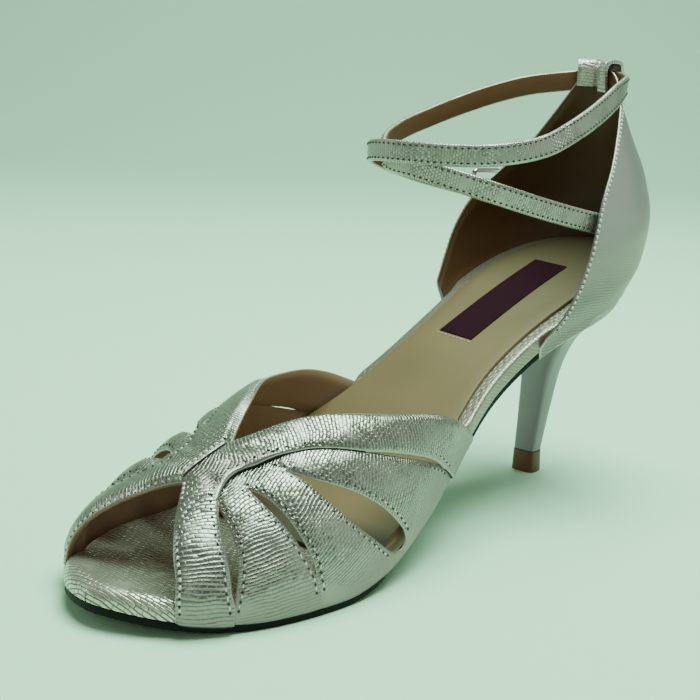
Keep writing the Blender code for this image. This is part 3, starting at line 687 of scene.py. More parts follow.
# pale thread at the label's end: a fine light line
thread_pale = plain("pale stitching thread", "#efc3bf", metallic=0.0, rough=0.6)
# shadowed punch holes of the strap: small black dots
hole_shade = plain("painted shade of punched hole", "#130d0d", metallic=0.0, rough=0.8)


# Building sheets

def new_object(name, data):
    """An object of the scene, at the origin."""
    made = bpy.data.objects.new(name, data)
    bpy.context.scene.collection.objects.link(made)
    return made


class Sheet:
    """Points welded by place, with faces that carry a UV in millimetres and a material number."""

    def __init__(self):
        self.points = []
        self.seen = {}
        self.faces = []
        self.uvs = []
        self.skins = []

    def point(self, p):
        key = tuple(int(round(float(c) * 2000)) for c in p)
        if key not in self.seen:
            self.seen[key] = len(self.points)
            self.points.append(tuple(float(c) * MM for c in p))
        return self.seen[key]

    def face(self, ids, uvs, skin):
        ring = [k for k in range(len(ids)) if ids[k] != ids[k - 1]]
        if len({ids[k] for k in ring}) > 2:
            self.faces.append([ids[k] for k in ring])
            self.uvs.append([uvs[k] for k in ring])
            self.skins.append(skin)

    def rings(self, rings, uvs, skins, closed=False, caps=None):
        """Skin through rings of points; skins gives one material number per step round the ring, or one such
        row for each ring."""
        ids = [[self.point(p) for p in ring] for ring in rings]
        skins = skins if isinstance(skins[0], list) else [skins] * len(ids)
        n = len(ids[0])
        for i in range(len(ids) if closed else len(ids) - 1):
            m = (i + 1) % len(ids)
            for j in range(n):
                k = (j + 1) % n
                self.face((ids[i][j], ids[m][j], ids[m][k], ids[i][k]),
                          (uvs[i][j], uvs[m][j], uvs[m][k], uvs[i][k]), skins[i][j])
        if caps is not None:
            for i in (0, -1):
                for j in range(n // 2):
                    quad = (j, j + 1, (n - 1 - j) % n, -j % n)
                    self.face([ids[i][q] for q in quad], [uvs[i][q] for q in quad], caps)

    def even_rings(self, rings, closed=False, caps=None):
        """Skin through rings in one material that needs no UV."""
        sides = len(rings[0])
        self.rings(rings, [[(0.0, 0.0)] * sides] * len(rings), [0] * sides, closed, caps)

    def patch(self, skin, lining, uvs, number, twin):
        """Face a grid of skin points, and note the lining point below each one in twin."""
        ids = [[self.point(p) for p in row] for row in skin]
        under = [[self.point(p) for p in row] for row in lining]
        for row, below in zip(ids, under):
            twin.update(zip(row, below))
        for i in range(len(ids) - 1):
            for j in range(len(ids[0]) - 1):
                corners = ((i, j), (i, j + 1), (i + 1, j + 1), (i + 1, j))
                self.face([ids[r][c] for r, c in corners], [tuple(uvs[c]) for c in corners], number)

    def build(self, name, materials, bevel=0.0, angle=40.0):
        """Make the sheet a piece, with edges sharper than an angle rounded where a bevel is given."""
        mesh = bpy.data.meshes.new(name)
        mesh.from_pydata(self.points, [], self.faces)
        layer = mesh.uv_layers.new(name="leather")
        layer.data.foreach_set("uv", [c for uv in self.uvs for corner in uv for c in corner])
        mesh.polygons.foreach_set("material_index", self.skins)
        for skin in materials:
            mesh.materials.append(skin)
        work = bmesh.new()
        work.from_mesh(mesh)
        bmesh.ops.recalc_face_normals(work, faces=work.faces)
        work.to_mesh(mesh)
        work.free()
        piece = new_object(name, mesh)
        if bevel:
            rounding = piece.modifiers.new("edges", "BEVEL")
            rounding.width = bevel * MM
            rounding.segments = 2
            rounding.limit_method = "ANGLE"
            rounding.angle_limit = math.radians(angle)
            bake(piece)
        piece.data.shade_smooth()
        piece.data.set_sharp_from_angle(angle=math.radians(50))
        return piece


def bake(piece):
    """Put the result of a piece's modifiers into its mesh."""
    graph = bpy.context.evaluated_depsgraph_get()
    done = bpy.data.meshes.new_from_object(piece.evaluated_get(graph))
    piece.modifiers.clear()
    piece.data = done


def fine_rows(rows, step):
    """Rows with more rows between them, none further apart than step."""
    out = []
    for a, b in zip(rows[:-1], rows[1:]):
        count = math.ceil((b - a) / step)
        out += [a + (b - a) * k / count for k in range(count)]
    return out + [rows[-1]]


# Vamp

def vamp_point(x, angle):
    """Upper's outer surface: angle 0 medial feather edge, 90 ridge, 180 lateral feather edge."""
    a = np.radians(np.where(angle > 90, 180 - angle, angle))
    low, top, mid = seat(x), ridge_z(x), ridge_y(x)
    edge = np.where(angle > 90, feather_lateral(x), feather_medial(x))
    power = 2 / np.where(angle > 90, roundness[1](x), roundness[0](x))
    y = mid + (edge - mid) * np.cos(a).clip(0) ** power
    z = low + (top - low) * np.sin(a).clip(0) ** power
    return np.stack([x, y, z], -1)


def vamp_normal(x, angle):
    """Outward normal of the smooth vamp, from small steps along it."""
    a0, a1 = np.clip(angle - 1.5, 0, 180), np.clip(angle + 1.5, 0, 180)
    along = vamp_point(x + 0.5, angle) - vamp_point(x - 0.5, angle)
    around = vamp_point(x, a1) - vamp_point(x, a0)
    return unit(np.cross(around, along))


def fan_line(name, angle):
    """x of a fan line at each angle counted right round the vamp."""
    angle = np.asarray(angle, float)
    a = np.minimum(angle, 180 - angle)
    back = np.where(angle > 90, LATERAL_BACK[name] * np.cos(np.radians(a)) ** 0.8, 0.0)
    return fan_x[name](a) - back


def hook(a, place):
    """Row angle bent down toward the feather edge at both ends of the hook, so that its edge runs round."""
    return a - HOOK_TURN * (2 * place - 1) ** 2 * between(a, *HOOK_GROWS) * (1 - between(a, *HOOK_FADES))


def slit_open(name, angle):
    """Half width of the slit on a fan line at each angle counted right round the vamp."""
    angle = np.asarray(angle, float)
    if name not in slit_half:
        return np.zeros_like(angle)
    a = np.minimum(angle, 180 - angle)
    return np.where(angle > 90, slit_half[name][1](a), slit_half[name][0](a))


def band_edges(left, right, angle):
    """x of a band's two edges at each angle."""
    return fan_line(left, angle) + slit_open(left, angle), fan_line(right, angle) - slit_open(right, angle)


def pillow(share):
    """Rounded swell across a band: 0 at its edges and 1 in its middle."""
    return np.clip(1 - (2 * share - 1) ** 2, 0, 1) ** 0.6


def free_edge(left, right, share):
    """How far in from the framing strip's free edge, as a share of the band; 1 on the fan bands."""
    if left == "throat":
        return share
    return 1 - share if right == "toe" else np.ones_like(share)


def vamp_lift(x, angle, share, free, framing, lateral):
    """How far the outer leather stands above the last: strip step, soft filling and gathered pleats. The
    strip runs out thin at its free edge, and the fan bands dip where they go under it."""
    hand = 1 if lateral else 0
    a = np.minimum(angle, 180 - angle)
    low = between(a, 3, 16)
    if not framing:
        filled = VAMP_PUFF[hand] * pillow(share) * low
        return filled * (1 - between(a, 56, KNOT)) - BAND_DIP * between(a, 60, KNOT)
    throat, toe = fan_line("throat", angle), fan_line("toe", angle)
    whole = np.clip((x - throat) / (toe - throat), 0, 1)
    gathered = between(a, 52, KNOT)
    lift = VAMP_LAP + STRIP_PUFF * low * ((1 - gathered) * pillow(share) + gathered * pillow(whole))
    for middle, depth, half in PLEATS:
        fold = depth * between(a, *PLEATS_GROW) * (1 - between(a, *PLEATS_FADE))
        lift = lift - fold * np.exp(-((whole - middle) / half) ** 2)
    if lateral:
        lift = lift + CENTRE_LAP * (1 - between(angle, 92, 116))
    return lift * (LIFT_AT_EDGE + (1 - LIFT_AT_EDGE) * between(free, 0.0, STRIP_THIN[hand]))


def make_vamp():
    """Open-toed upper: framing strip and fan bands, laid in patches that share edges, and their lining."""
    half = fine_rows(HALF_ROWS, ROW_STEP)
    columns = np.linspace(0, 1, BAND_COLUMNS)
    sheet, twin = Sheet(), {}

    def lay_band(left, right, angles, framing, lateral, number):
        angles = np.array(angles)
        rise = np.minimum(angles, 180 - angles)
        ends = [hook(rise, HOOK_PLACE[name]) for name in (left, right)]
        ends = [180 - a if lateral else a for a in ends]
        x0, x1 = band_edges(left, right, ends[0])[0], band_edges(left, right, ends[1])[1]
        x = x0[:, None] + (x1 - x0)[:, None] * columns
        grid = hook(rise[:, None], HOOK_PLACE[left] + (HOOK_PLACE[right] - HOOK_PLACE[left]) * columns)
        grid = 180 - grid if lateral else grid
        share = np.broadcast_to(columns, x.shape)
        base, normal = vamp_point(x, grid), vamp_normal(x, grid)
        lift = vamp_lift(x, grid, share, free_edge(left, right, share), framing, lateral)
        inner = between(np.minimum(share, 1 - share), 0.0, 0.14)
        wall = VAMP_WALL * (WALL_AT_EDGE + (1 - WALL_AT_EDGE) * inner)
        skin, lining = base + normal * lift[..., None], base - normal * wall[..., None]
        skin[..., 2] -= FOOT_DROP * (1 - between(grid, 0.0, 6.0)) + FOOT_DROP * between(grid, 174.0, 180.0)
        x_mid = (fan_line(left, ends[0]) + fan_line(right, ends[1])) / 2
        middle = vamp_point(x_mid, angles)
        along = unit(np.gradient(middle, axis=0))
        side = unit(np.cross(along, vamp_normal(x_mid, angles)))
        offset = skin - middle[:, None]
        u = (offset * side[:, None]).sum(-1)
        v = run_along(middle)[:, None] + (offset * along[:, None]).sum(-1)
        sheet.patch(skin, lining, np.stack([u, v], -1), number, twin)

    for rows, lateral in ((half, False), ([180 - a for a in half[::-1]], True)):
        low = [a for a in rows if min(a, 180 - a) <= KNOT]
        high = [a for a in rows if min(a, 180 - a) >= KNOT]
        for left, right in BANDS:
            number = LATERAL_SKIN if lateral else TOE_SKIN if right == "toe" else SKIN
            if left == "throat" or right == "toe":
                lay_band(left, right, rows, True, lateral, number)
            else:
                lay_band(left, right, low, False, lateral, number)
                lay_band(left, right, high, True, lateral, number)
    close_wall(sheet, twin, under_step=STEP_SHADE, silver=0.3)
    return sheet.build("vamp_upper", [vamp_foil, vamp_lining, edge_foil, toe_foil, step_shade, lateral_foil_lit])


def close_wall(sheet, twin, under_step, silver):
    """Give an outer skin its lining and a round rim along every open edge. Steps in the skin share a lining
    edge. The rim is silver for a share of its depth, and below that shows the lining, or under a step the
    given material, which on the vamp is painted shade."""

    def spot(i):
        return np.array(sheet.points[i]) / MM

    skin_faces = list(zip(list(sheet.faces), list(sheet.uvs)))
    edges = {}
    for ids, uvs in skin_faces:
        centre = np.mean([spot(i) for i in ids], axis=0)
        for k in range(len(ids)):
            a, b = ids[k], ids[(k + 1) % len(ids)]
            use = (a, b, uvs[k], uvs[(k + 1) % len(ids)], centre)
            edges.setdefault((min(a, b), max(a, b)), []).append(use)
    steps, away = {}, {}
    for uses in edges.values():
        if len(uses) == 1:
            a, b, _, _, centre = uses[0]
            steps.setdefault((min(twin[a], twin[b]), max(twin[a], twin[b])), []).append(uses[0])
            along, through = unit(spot(b) - spot(a)), unit(spot(a) - spot(twin[a]))
            out = (spot(a) + spot(b)) / 2 - centre
            out = out - (out @ along) * along
            out = out - (out @ through) * through
            for i in (a, b):
                away[i] = away.get(i, 0.0) + unit(out)
    for ids, uvs in skin_faces:
        sheet.face([twin[i] for i in ids][::-1], uvs[::-1], LINING)

    def nose(i, end, share):
        """Point on the round edge between a skin point and the point it closes on."""
        start, stop = spot(i), spot(end)
        bulge = 0.42 * np.linalg.norm(stop - start) * math.sin(math.pi * share)
        return sheet.point(start + (stop - start) * share + unit(away[i]) * bulge)

    shares = (0.0, 0.1, 0.35, 0.65, 0.9, 1.0)
    for uses in steps.values():
        if len(uses) == 2:
            first, second = uses
            c, d = (second[0], second[1]) if twin[first[0]] == twin[second[0]] else (second[1], second[0])
            ends = (c, d)
            upper = sum(np.linalg.norm(spot(i) - spot(twin[i])) for i in first[:2])
            lower = sum(np.linalg.norm(spot(i) - spot(twin[i])) for i in ends)
            if lower > upper:
                first, ends = ((c, d) + first[2:]), first[:2]
            below = under_step
        else:
            first, below = uses[0], LINING
            ends = twin[first[0]], twin[first[1]]
        a, b, ua, ub = first[:4]
        for s0, s1 in zip(shares[:-1], shares[1:]):
            ring = [nose(b, ends[1], s0), nose(a, ends[0], s0), nose(a, ends[0], s1), nose(b, ends[1], s1)]
            sheet.face(ring, (ub, ua, ua, ub), RIM if s0 < silver else below)


def vamp_seam(name, inset, angles, framing):
    """Stitch path beside a fan line: inset along the surface, positive toward the toe."""
    angles = np.array(angles, float)
    lateral = angles[len(angles) // 2] > 90
    x = fan_line(name, angles) + math.copysign(1, inset) * slit_open(name, angles)
    line, normal = vamp_point(x, angles), vamp_normal(x, angles)
    along = unit(np.gradient(line, axis=0))
    side = unit(np.cross(along, normal))
    side = side * np.sign(side[:, :1] * inset)
    spots = line + side * abs(inset)
    left, right = next(band for band in BANDS if band[0 if inset > 0 else 1] == name)
    x0, x1 = band_edges(left, right, angles)
    share = np.clip((spots[:, 0] - x0) / (x1 - x0), 0, 1)
    on_strip = framing or left == "throat" or right == "toe"
    lift = vamp_lift(spots[:, 0], angles, share, free_edge(left, right, share), on_strip, lateral)
    return spots + normal * (lift - STITCH_SINK)[:, None]


def strip_spots(xs, angles, lateral, sink):
    """Points on the framing strip, well inside its edges and sunk in it by some depth."""
    lift = vamp_lift(xs, angles, 0.5 * np.ones_like(xs), np.ones_like(xs), True, lateral)
    return vamp_point(xs, angles) + vamp_normal(xs, angles) * (lift - sink)[:, None]


def strip_seam(lateral):
    """Stitch path on the framing strip where it hooks round the upper ends of the fan bands."""
    names = ("lap", "slit two", "slit three", "slit four")
    angles = np.array([hook(KNOT + 3.0, HOOK_PLACE[name]) for name in names])
    spots = np.array([(fan_line(name, a), a) for name, a in zip(names, angles)])
    spots[0, 0] -= 0.8
    spots[-1, 0] += 0.8
    xs, turn = smooth_path(spots, 24).T
    return strip_spots(xs, 180 - turn if lateral else turn, lateral, STITCH_SINK)


def ridge_seam():
    """Stitch path along the ridge, where the lateral strip lies over the medial one."""
    xs = np.linspace(fan_line("throat", 90.0) + 0.8, fan_line("toe", 90.0) - 0.8, 40)
    return strip_spots(xs, np.full_like(xs, 91.0), True, 0.0)


# Counter

def heel_run(count):
    """Plan points and normals round the heel, from the medial counter front to the lateral one."""
    order = list(range(TIP, -1, -1)) + list(range(len(OUTLINE) - 1, TIP, -1))
    keep = [i for i in order if OUTLINE[i, 0] <= COUNTER_FRONT[0 if i <= TIP else 1]]
    p, n = OUTLINE[keep], NORMAL[keep]
    run = run_along(p)
    want = np.linspace(0, run[-1], count)
    plan = np.column_stack([np.interp(want, run, p[:, k]) for k in (0, 1)])
    normal = unit(np.column_stack([np.interp(want, run, n[:, k]) for k in (0, 1)]))
    return plan, normal


def counter_at(plan, normal, height):
    """Counter's outer surface over one plan point, at a height above the seat."""
    back = np.clip(-normal[0], 0, 1)
    out = back * bulge_back(height) + (1 - back) * bulge_side(height)
    return np.array([plan[0] + normal[0] * out, plan[1] + normal[1] * out, seat(plan[0]) + height])


def counter_skin(across, up):
    """Grid of the counter's outer surface and its outward normals."""
    plan, normal = heel_run(across)
    back = int(plan[:, 0].argmin())
    tall = [counter_edge[0 if i <= back else 1](p[0]) - seat(p[0]) for i, p in enumerate(plan)]
    levels = np.linspace(0, 1, up)
    skin = np.array([[counter_at(p, n, t * h) for t in levels] for p, n, h in zip(plan, normal, tall)])
    n = unit(np.cross(np.gradient(skin, axis=0), np.gradient(skin, axis=1)))
    flat = np.concatenate([normal, np.zeros((len(normal), 1))], 1)[:, None, :]
    return skin, n * np.sign((n * flat).sum(-1, keepdims=True)), run_along(plan)


def make_counter():
    """Heel cup and its lining."""
    skin, normal, run = counter_skin(*COUNTER_GRID)
    skin[:, 0, 2] -= COUNTER_DROP + ARCH_DROP * between(skin[:, 0, 0], 9.0, 15.0)
    below = np.linalg.norm(skin - skin[:, -1:], axis=-1)
    wall = COUNTER_WALL * (0.5 + 0.5 * between(below, 0.0, 4.0))
    lining = skin - normal * wall[..., None]
    lining[:, 0, 2] = skin[:, 0, 2]
    uvs = np.stack([np.broadcast_to(run[:, None], skin.shape[:2]), skin[..., 2]], -1)
    sheet, twin = Sheet(), {}
    rows_up = [grid.swapaxes(0, 1) for grid in (skin, lining, uvs)]
    sheet.patch(*rows_up, SKIN, twin)
    close_wall(sheet, twin, under_step=LINING, silver=0.9)
    return sheet.build("heel_counter", [counter_foil, counter_lining, edge_foil])


def counter_seam(inset):
    """Stitch path below the counter's free edge."""
    skin, normal, _ = counter_skin(2 * COUNTER_GRID[0] - 1, COUNTER_GRID[1])
    edge, inner = skin[:, -1], skin[:, -4]
    down = unit(inner - edge)
    return (edge + down * inset + normal[:, -1] * 0.03)[6:-6]


def back_point(across, out, z):
    """Point behind the counter: across along its back from the centre, out from its surface."""
    plan, normal = HEEL_RUN
    run = run_along(plan)
    want = run[int(plan[:, 0].argmin())] - across
    p = np.array([np.interp(want, run, plan[:, k]) for k in (0, 1)])
    n = unit(np.array([np.interp(want, run, normal[:, k]) for k in (0, 1)]))
    q = counter_at(p, n, np.clip(z - seat(p[0]), 0, 70))
    return np.array([q[0] + n[0] * out, q[1] + n[1] * out, z])


HEEL_RUN = heel_run(401)


# Strap, loop and buckle

def make_loop():
    """Leather folded over the counter's top and behind the strap, pinched near its middle like a bow."""
    inside = -(COUNTER_WALL + GAP + 0.2 + LOOP_T / 2)
    outside = 2 * GAP + STRAP_T + 1.2 + LOOP_T / 2
    profile = [(inside, 138.2), (inside, 141.0), (inside, 144.4), (inside * 0.55, 146.7), (0.6, 147.2),
               (outside - 0.5, 146.6), (outside, 144.6), (outside, 140.0), (outside, 136.6),
               (outside - 0.8, 134.4), (1.5, 133.0), (GAP + 0.2 + LOOP_T / 2, 131.4)]
    steps = 60
    fine = smooth_path(profile, steps)
    side = unit(np.gradient(fine, axis=0))
    face = np.column_stack([-side[:, 1], side[:, 0]]) * LOOP_T / 2
    run = run_along(fine)
    spread = LOOP_W / 2 * 1.18
    pinch_at, pinch_half = 1.5, 1.5
    rings, uvs = [], []
    for s in np.linspace(-spread, spread, 61):
        pinch = math.exp(-((s - pinch_at) / pinch_half) ** 2)
        lobe = math.cos(min(1.0, abs(s - pinch_at) / spread) * math.pi / 2) * (1 - pinch)
        fold = 0.4 * math.sin(s * 1.1 + 0.6) * (1 - pinch)
        ring, uv = [], []
        for sign, order in ((1, range(steps)), (-1, range(steps - 1, -1, -1))):
            for k in order:
                high = between(fine[k, 1], 136.0, 145.5)
                low_end = (1 - between(fine[k, 1], 138.0, 142.0)) * between(-fine[k, 0], 1.0, 2.0)
                bow = 0.45 * lobe - 0.6 * pinch + 0.25 * fold * high
                r = fine[k, 0] + sign * face[k, 0] + np.sign(fine[k, 0]) * bow
                z = fine[k, 1] + sign * face[k, 1] - (0.8 * pinch + 0.35 * abs(fold)) * high
                z = z - low_end * (1.8 * between(s, 0.5, 4.0) - 0.6 * pinch)
                ring.append(back_point(s + LOOP_SIDE, r, z))
                uv.append((s, run[k]))
        rings.append(ring)
        uvs.append(uv)
    sheet = Sheet()
    sheet.rings(rings, uvs, [0] * (2 * steps), caps=0)
    return sheet.build("folded_loop", [loop_foil_lit], bevel=0.25, angle=50)


def strap_path(count):
    """Points along the whole strap, through the loop behind the counter."""
    back = [tuple(back_point(s, 1.0 + STRAP_T / 2, z)) for s, z in BACK_PASS]
    return smooth_path(FIRST_PASS + back + SECOND_PASS, count)


def strap_frame(path):
    """Tangent, outward face and width direction along the strap."""
    along = unit(np.gradient(path, axis=0))
    out = path - np.array(ANKLE_AT)
    out[:, 2] = 0
    out /= np.array(ANKLE_OVAL)
    out = unit(out - (out * along).sum(1, keepdims=True) * along)
    wide = np.cross(along, out)
    turn = STRAP_LEAN * between(path[:, 1], 14, 20) * between(path[:, 2], 118, 124)
    turn = (turn * between(path[:, 0], -16, -4))[:, None]
    lean = np.sign(wide[:, 2:3])
    face = out * np.cos(turn) + wide * lean * np.sin(turn)
    return along, face, wide * np.cos(turn) - out * lean * np.sin(turn)


def make_strap():
    """Strap leather and its lining, narrowed at the free end."""
    path = strap_path(420)
    run = run_along(path)
    _, out, wide = strap_frame(path)
    half_w, half_t = STRAP_W / 2, STRAP_T / 2
    # across, through and material of each corner of the section, from the inside round to the outside
    section = [(-half_w, -half_t + 0.5, 0), (-half_w + 0.4, -half_t + 0.1, 1), (-half_w + 0.8, -half_t, 1),
               (0.0, -half_t, 1),
               (half_w - 0.8, -half_t, 1), (half_w - 0.4, -half_t + 0.1, 0), (half_w, -half_t + 0.5, 0),
               (half_w, half_t - 0.6, 0), (half_w - 0.35, half_t - 0.15, 0), (half_w - 1.0, half_t, 0),
               (half_w - 2.0, half_t - 0.05, 0), (0.0, half_t + 0.05, 0), (-half_w + 2.0, half_t - 0.05, 0),
               (-half_w + 1.0, half_t, 0), (-half_w + 0.35, half_t - 0.15, 0), (-half_w, half_t - 0.6, 0)]
    rings, uvs = [], []
    for i, p in enumerate(path):
        tip = min(1.0, STRAP_TIP + 0.2 * (run[-1] - run[i]) / 3.2)
        rings.append([p + wide[i] * w * tip + out[i] * t for w, t, _ in section])
        uvs.append([(w, run[i]) for w, _, _ in section])
    sheet = Sheet()
    sheet.rings(rings, uvs, [skin for _, _, skin in section], caps=0)
    return sheet.build("ankle_strap_leather", [strap_foil, strap_lining])


def strap_seams():
    """Stitch paths along both edges of the strap's outside."""
    path = strap_path(420)
    _, out, wide = strap_frame(path)
    lift = STRAP_T / 2 - 0.02
    return [(path + wide * side * (STRAP_W / 2 - STRAP_INSET) + out * lift)[4:-14] for side in (1, -1)]


def buckle_index(path):
    """Number of the path's point at the buckle, on the strap's last stretch."""
    late = len(path) * 3 // 4
    return late + int(np.linalg.norm(path[late:] - np.array(BUCKLE_AT), axis=1).argmin())


def strap_holes():
    """Adjusting holes before the buckle, as places with their outward direction."""
    path = strap_path(900)
    _, out, _ = strap_frame(path)
    run = run_along(path)
    at = run[buckle_index(path)]
    picks = [int(np.searchsorted(run, at - back)) for back in HOLES_BEFORE_BUCKLE]
    return [(path[i] + out[i] * STRAP_T / 2, out[i]) for i in picks]


def buckle_axes():
    """The buckle's place on the strap, with the strap's directions there."""
    path = strap_path(600)
    along, out, wide = strap_frame(path)
    i = buckle_index(path)
    return path[i], along[i], out[i], wide[i]


def wire(sheet, path, radius, closed, sides=16):
    """Round wire along a path."""
    p = np.array(path)
    along = unit(np.roll(p, -1, 0) - np.roll(p, 1, 0)) if closed else unit(np.gradient(p, axis=0))
    up = np.cross(p[1] - p[0], p.mean(0) - p[0]) if closed else np.array([0.0, 0.0, 1.0])
    up = up / np.linalg.norm(up)
    rings = []
    for q, t in zip(p, along):
        side = unit(np.cross(up, t))
        top = np.cross(t, side)
        rings.append([q + radius * (math.cos(a) * side + math.sin(a) * top)
                      for a in np.linspace(0, 2 * math.pi, sides, endpoint=False)])
    sheet.even_rings(rings, closed, None if closed else 0)


def make_buckle():
    """Rectangular ring of wire with round corners."""
    at, along, out, wide = buckle_axes()
    lift = STRAP_T / 2 + 2 * GAP + WIRE_R
    r = BUCKLE_CORNER_R
    a, b = BUCKLE_L / 2 - WIRE_R - r, BUCKLE_H / 2 - WIRE_R - r
    ring = []
    for cx, cy, turn in ((a, b, 0), (-a, b, 90), (-a, -b, 180), (a, -b, 270)):
        for k in range(0, 91, 10):
            q = math.radians(turn + k)
            ring.append((cx + r * math.cos(q), cy + r * math.sin(q)))
    sheet = Sheet()
    wire(sheet, [at + along * u + wide * v + out * lift for u, v in ring], WIRE_R, True)
    return sheet.build("buckle_ring", [nickel])


def make_prong():
    """Pin that lies on the strap inside the ring."""
    at, along, out, _ = buckle_axes()
    lift = STRAP_T / 2 + GAP + PRONG_R
    reach = BUCKLE_L / 2 - 2 * WIRE_R - GAP - 0.4
    sheet = Sheet()
    wire(sheet, [at + along * u + out * lift for u in np.linspace(-reach, reach, 9)], PRONG_R, False, 12)
    return sheet.build("buckle_pin", [nickel])


# Bottom: insole, sock, label, outsole, heel

def make_slab(name, materials, inset, ends, top, bottom, skins, round_top, round_low, across=13):
    """A sheet that follows the last, with rounded edges. Skins number the top, the edge and the underside."""
    medial, lateral, reach = plan_sides(inset)
    x0 = reach[0] if ends[0] is None else ends[0]
    x1 = reach[1] if ends[1] is None else ends[1]
    x = x0 + (x1 - x0) * (1 - np.cos(math.pi * np.linspace(0, 1, 180))) / 2
    corner = 5
    turn = np.linspace(0, math.pi / 2, corner)
    rings, uvs = [], []
    run = run_along(np.column_stack([x, medial(x)]))
    for v, s in zip(x, run):
        m, l, high, low = medial(v), lateral(v), top(v), bottom(v)
        tight = min(1.0, (m - l) / (2.5 * max(round_top, round_low, 0.01)))
        rt, rl = round_top * tight, round_low * tight
        half = [(m - rl + rl * math.sin(q), low + rl - rl * math.cos(q)) for q in turn]
        half += [(m - rt + rt * math.cos(q), high - rt + rt * math.sin(q)) for q in turn]
        other = [(l + rt - rt * math.sin(q), high - rt + rt * math.cos(q)) for q in turn]
        other += [(l + rl - rl * math.cos(q), low + rl - rl * math.sin(q)) for q in turn]
        upper = [(m - rt + (l - m + 2 * rt) * k / (across - 1), high) for k in range(1, across - 1)]
        under = [(l + rl + (m - l - 2 * rl) * k / (across - 1), low) for k in range(1, across - 1)]
        ring = half + upper + other + under
        rings.append([(v, y, z) for y, z in ring])
        edge = [(z + 0.5 * y, s) for y, z in half]
        far = [(z - 0.5 * y, s) for y, z in other]
        uvs.append(edge + [(y, v) for y, _ in upper] + far + [(y, v) for y, _ in under])
    edge_marks = [skins[1]] * (2 * corner - 1)
    marks = edge_marks + [skins[0]] * (across - 1) + edge_marks + [skins[2]] * (across - 1)
    sheet = Sheet()
    sheet.rings(rings, uvs, marks, caps=skins[1])
    return sheet.build(name, materials)


def make_sock():
    """Tan lining on the insole, open at the toe."""
    return make_slab("sock_lining", [sock_leather], sock_inset, (None, SOCK_FRONT), sock_top,
                     lambda x: insole_top(x) + 0.02, skins=(0, 0, 0), round_top=0.5, round_low=0.0)


def make_outsole():
    """Thin sole from the heel breast to the toe, black on its edge."""
    return make_slab("outsole_leather", [sole_black, sole_suede], outsole_inset, (BREAST_X, None),
                     lambda x: seat(x) - GAP, lambda x: seat(x) - GAP - OUTSOLE_T, skins=(0, 0, 1),
                     round_top=0.3, round_low=0.5)


def make_insole():
    """Board wrapped in silver leather, its upper edge rolled over, widest at the toe. Inside the vamp its
    sides are covered by the lining."""
    roll_steps = 10
    levels = []
    for q in np.radians(np.linspace(0, 90, roll_steps)):
        drawn_in = 1 - math.cos(q)
        medial, lateral, ends = plan_sides(lambda x, side: insole_inset(x, side) + insole_roll(x) * drawn_in)
        levels.append((medial, lateral, ends, math.sin(q)))
    foot_medial, foot_lateral, foot_ends = plan_sides(insole_foot)
    rings, uvs = [], []
    for s in (1 - np.cos(math.pi * np.linspace(0, 1, 200))) / 2:
        near, far = [], []
        for medial, lateral, (x0, x1), rise in levels:
            x = x0 + (x1 - x0) * s
            z = insole_top(x) - insole_roll(x) * (1 - rise)
            near.append((x, float(medial(x)), float(z)))
            far.append((x, float(lateral(x)), float(z)))
        x = foot_ends[0] + (foot_ends[1] - foot_ends[0]) * s
        m, l = float(foot_medial(x)), float(foot_lateral(x))
        foot = float(seat(x)) - FOOT_DROP * float(between(x, 150.0, 190.0))
        (xt, mt, zt), (_, lt, _) = near[-1], far[-1]
        across = [(xt, lt + (mt - lt) * k / 12, zt) for k in range(1, 12)]
        ring = [(x, m, foot), (x, l, foot)] + far + across + near[::-1]
        rings.append(ring)
        uv = []
        for px, y, z in ring:
            top_y = mt if y > mt else max(y, lt)
            out = np.array([y - top_y, px - xt])
            length = np.linalg.norm(out)
            stretch = 1 + (zt - z) / length if length > 1e-6 else 0.0
            uv.append(tuple(np.array([top_y, xt]) + out * stretch))
        uvs.append(uv)
    count = len(rings[0])
    lined = [0] + [1] * roll_steps + [0] * (count - 2 * roll_steps - 1) + [1] * roll_steps
    start, stop = LINING_COVERS
    skins = [lined if start < ring[0][0] < stop else [0] * count for ring in rings]
    sheet = Sheet()
    sheet.rings(rings, uvs, skins, caps=0)
    return sheet.build("insole_board", [insole_foil, vamp_lining])


def label_spot(u, v):
    """x and y of a place on the label: u along it from its middle, v across it."""
    along = np.array([math.cos(LABEL_TURN), -math.sin(LABEL_TURN)])
    across = np.array([-along[1], along[0]])
    return np.array(LABEL_AT) + along * u + across * v


def make_label():
    """Plain label on the sock, bent with it and turned a little."""
    columns = 12
    rings, uvs = [], []
    for u in np.linspace(-LABEL_HALF[0], LABEL_HALF[0], 40):
        spots = [label_spot(u, v) for v in np.linspace(-LABEL_HALF[1], LABEL_HALF[1], columns)]
        low = [(x, y, float(sock_top(x)) + 0.02) for x, y in spots]
        ring = low + [(x, y, z + LABEL_T) for x, y, z in low[::-1]]
        rings.append(ring)
        uvs.append([(y, x) for x, y, _ in ring])
    sheet = Sheet()
    sheet.rings(rings, uvs, [0] * (2 * columns), caps=0)
    return sheet.build("sock_label", [label_cloth], bevel=0.1)


def label_seam():
    """Pale stitches beside the label's front end."""
    spots = [label_spot(LABEL_HALF[0] + 1.0, v) for v in np.linspace(-7.0, 7.0, 30)]
    return np.array([(x, y, float(sock_top(x)) + 0.1) for x, y in spots])


def ring_d(front, back, z_front, z_back, half, side, count=HEEL_SIDES):
    """Heel section with a flat breast in front and a round back."""
    middle = back + (front - back) * 0.66
    points = []
    for q in np.linspace(0, 2 * math.pi, count, endpoint=False):
        c, s = math.cos(q), math.sin(q)
        x = middle + (front - middle) * abs(c) ** 0.3 if c > 0 else middle + (back - middle) * abs(c) ** 0.95
        y = side + half * math.copysign(abs(s) ** 0.92, s)
        z = z_front + (z_back - z_front) * (front - x) / (front - back)
        points.append((x, y, z))
    return points


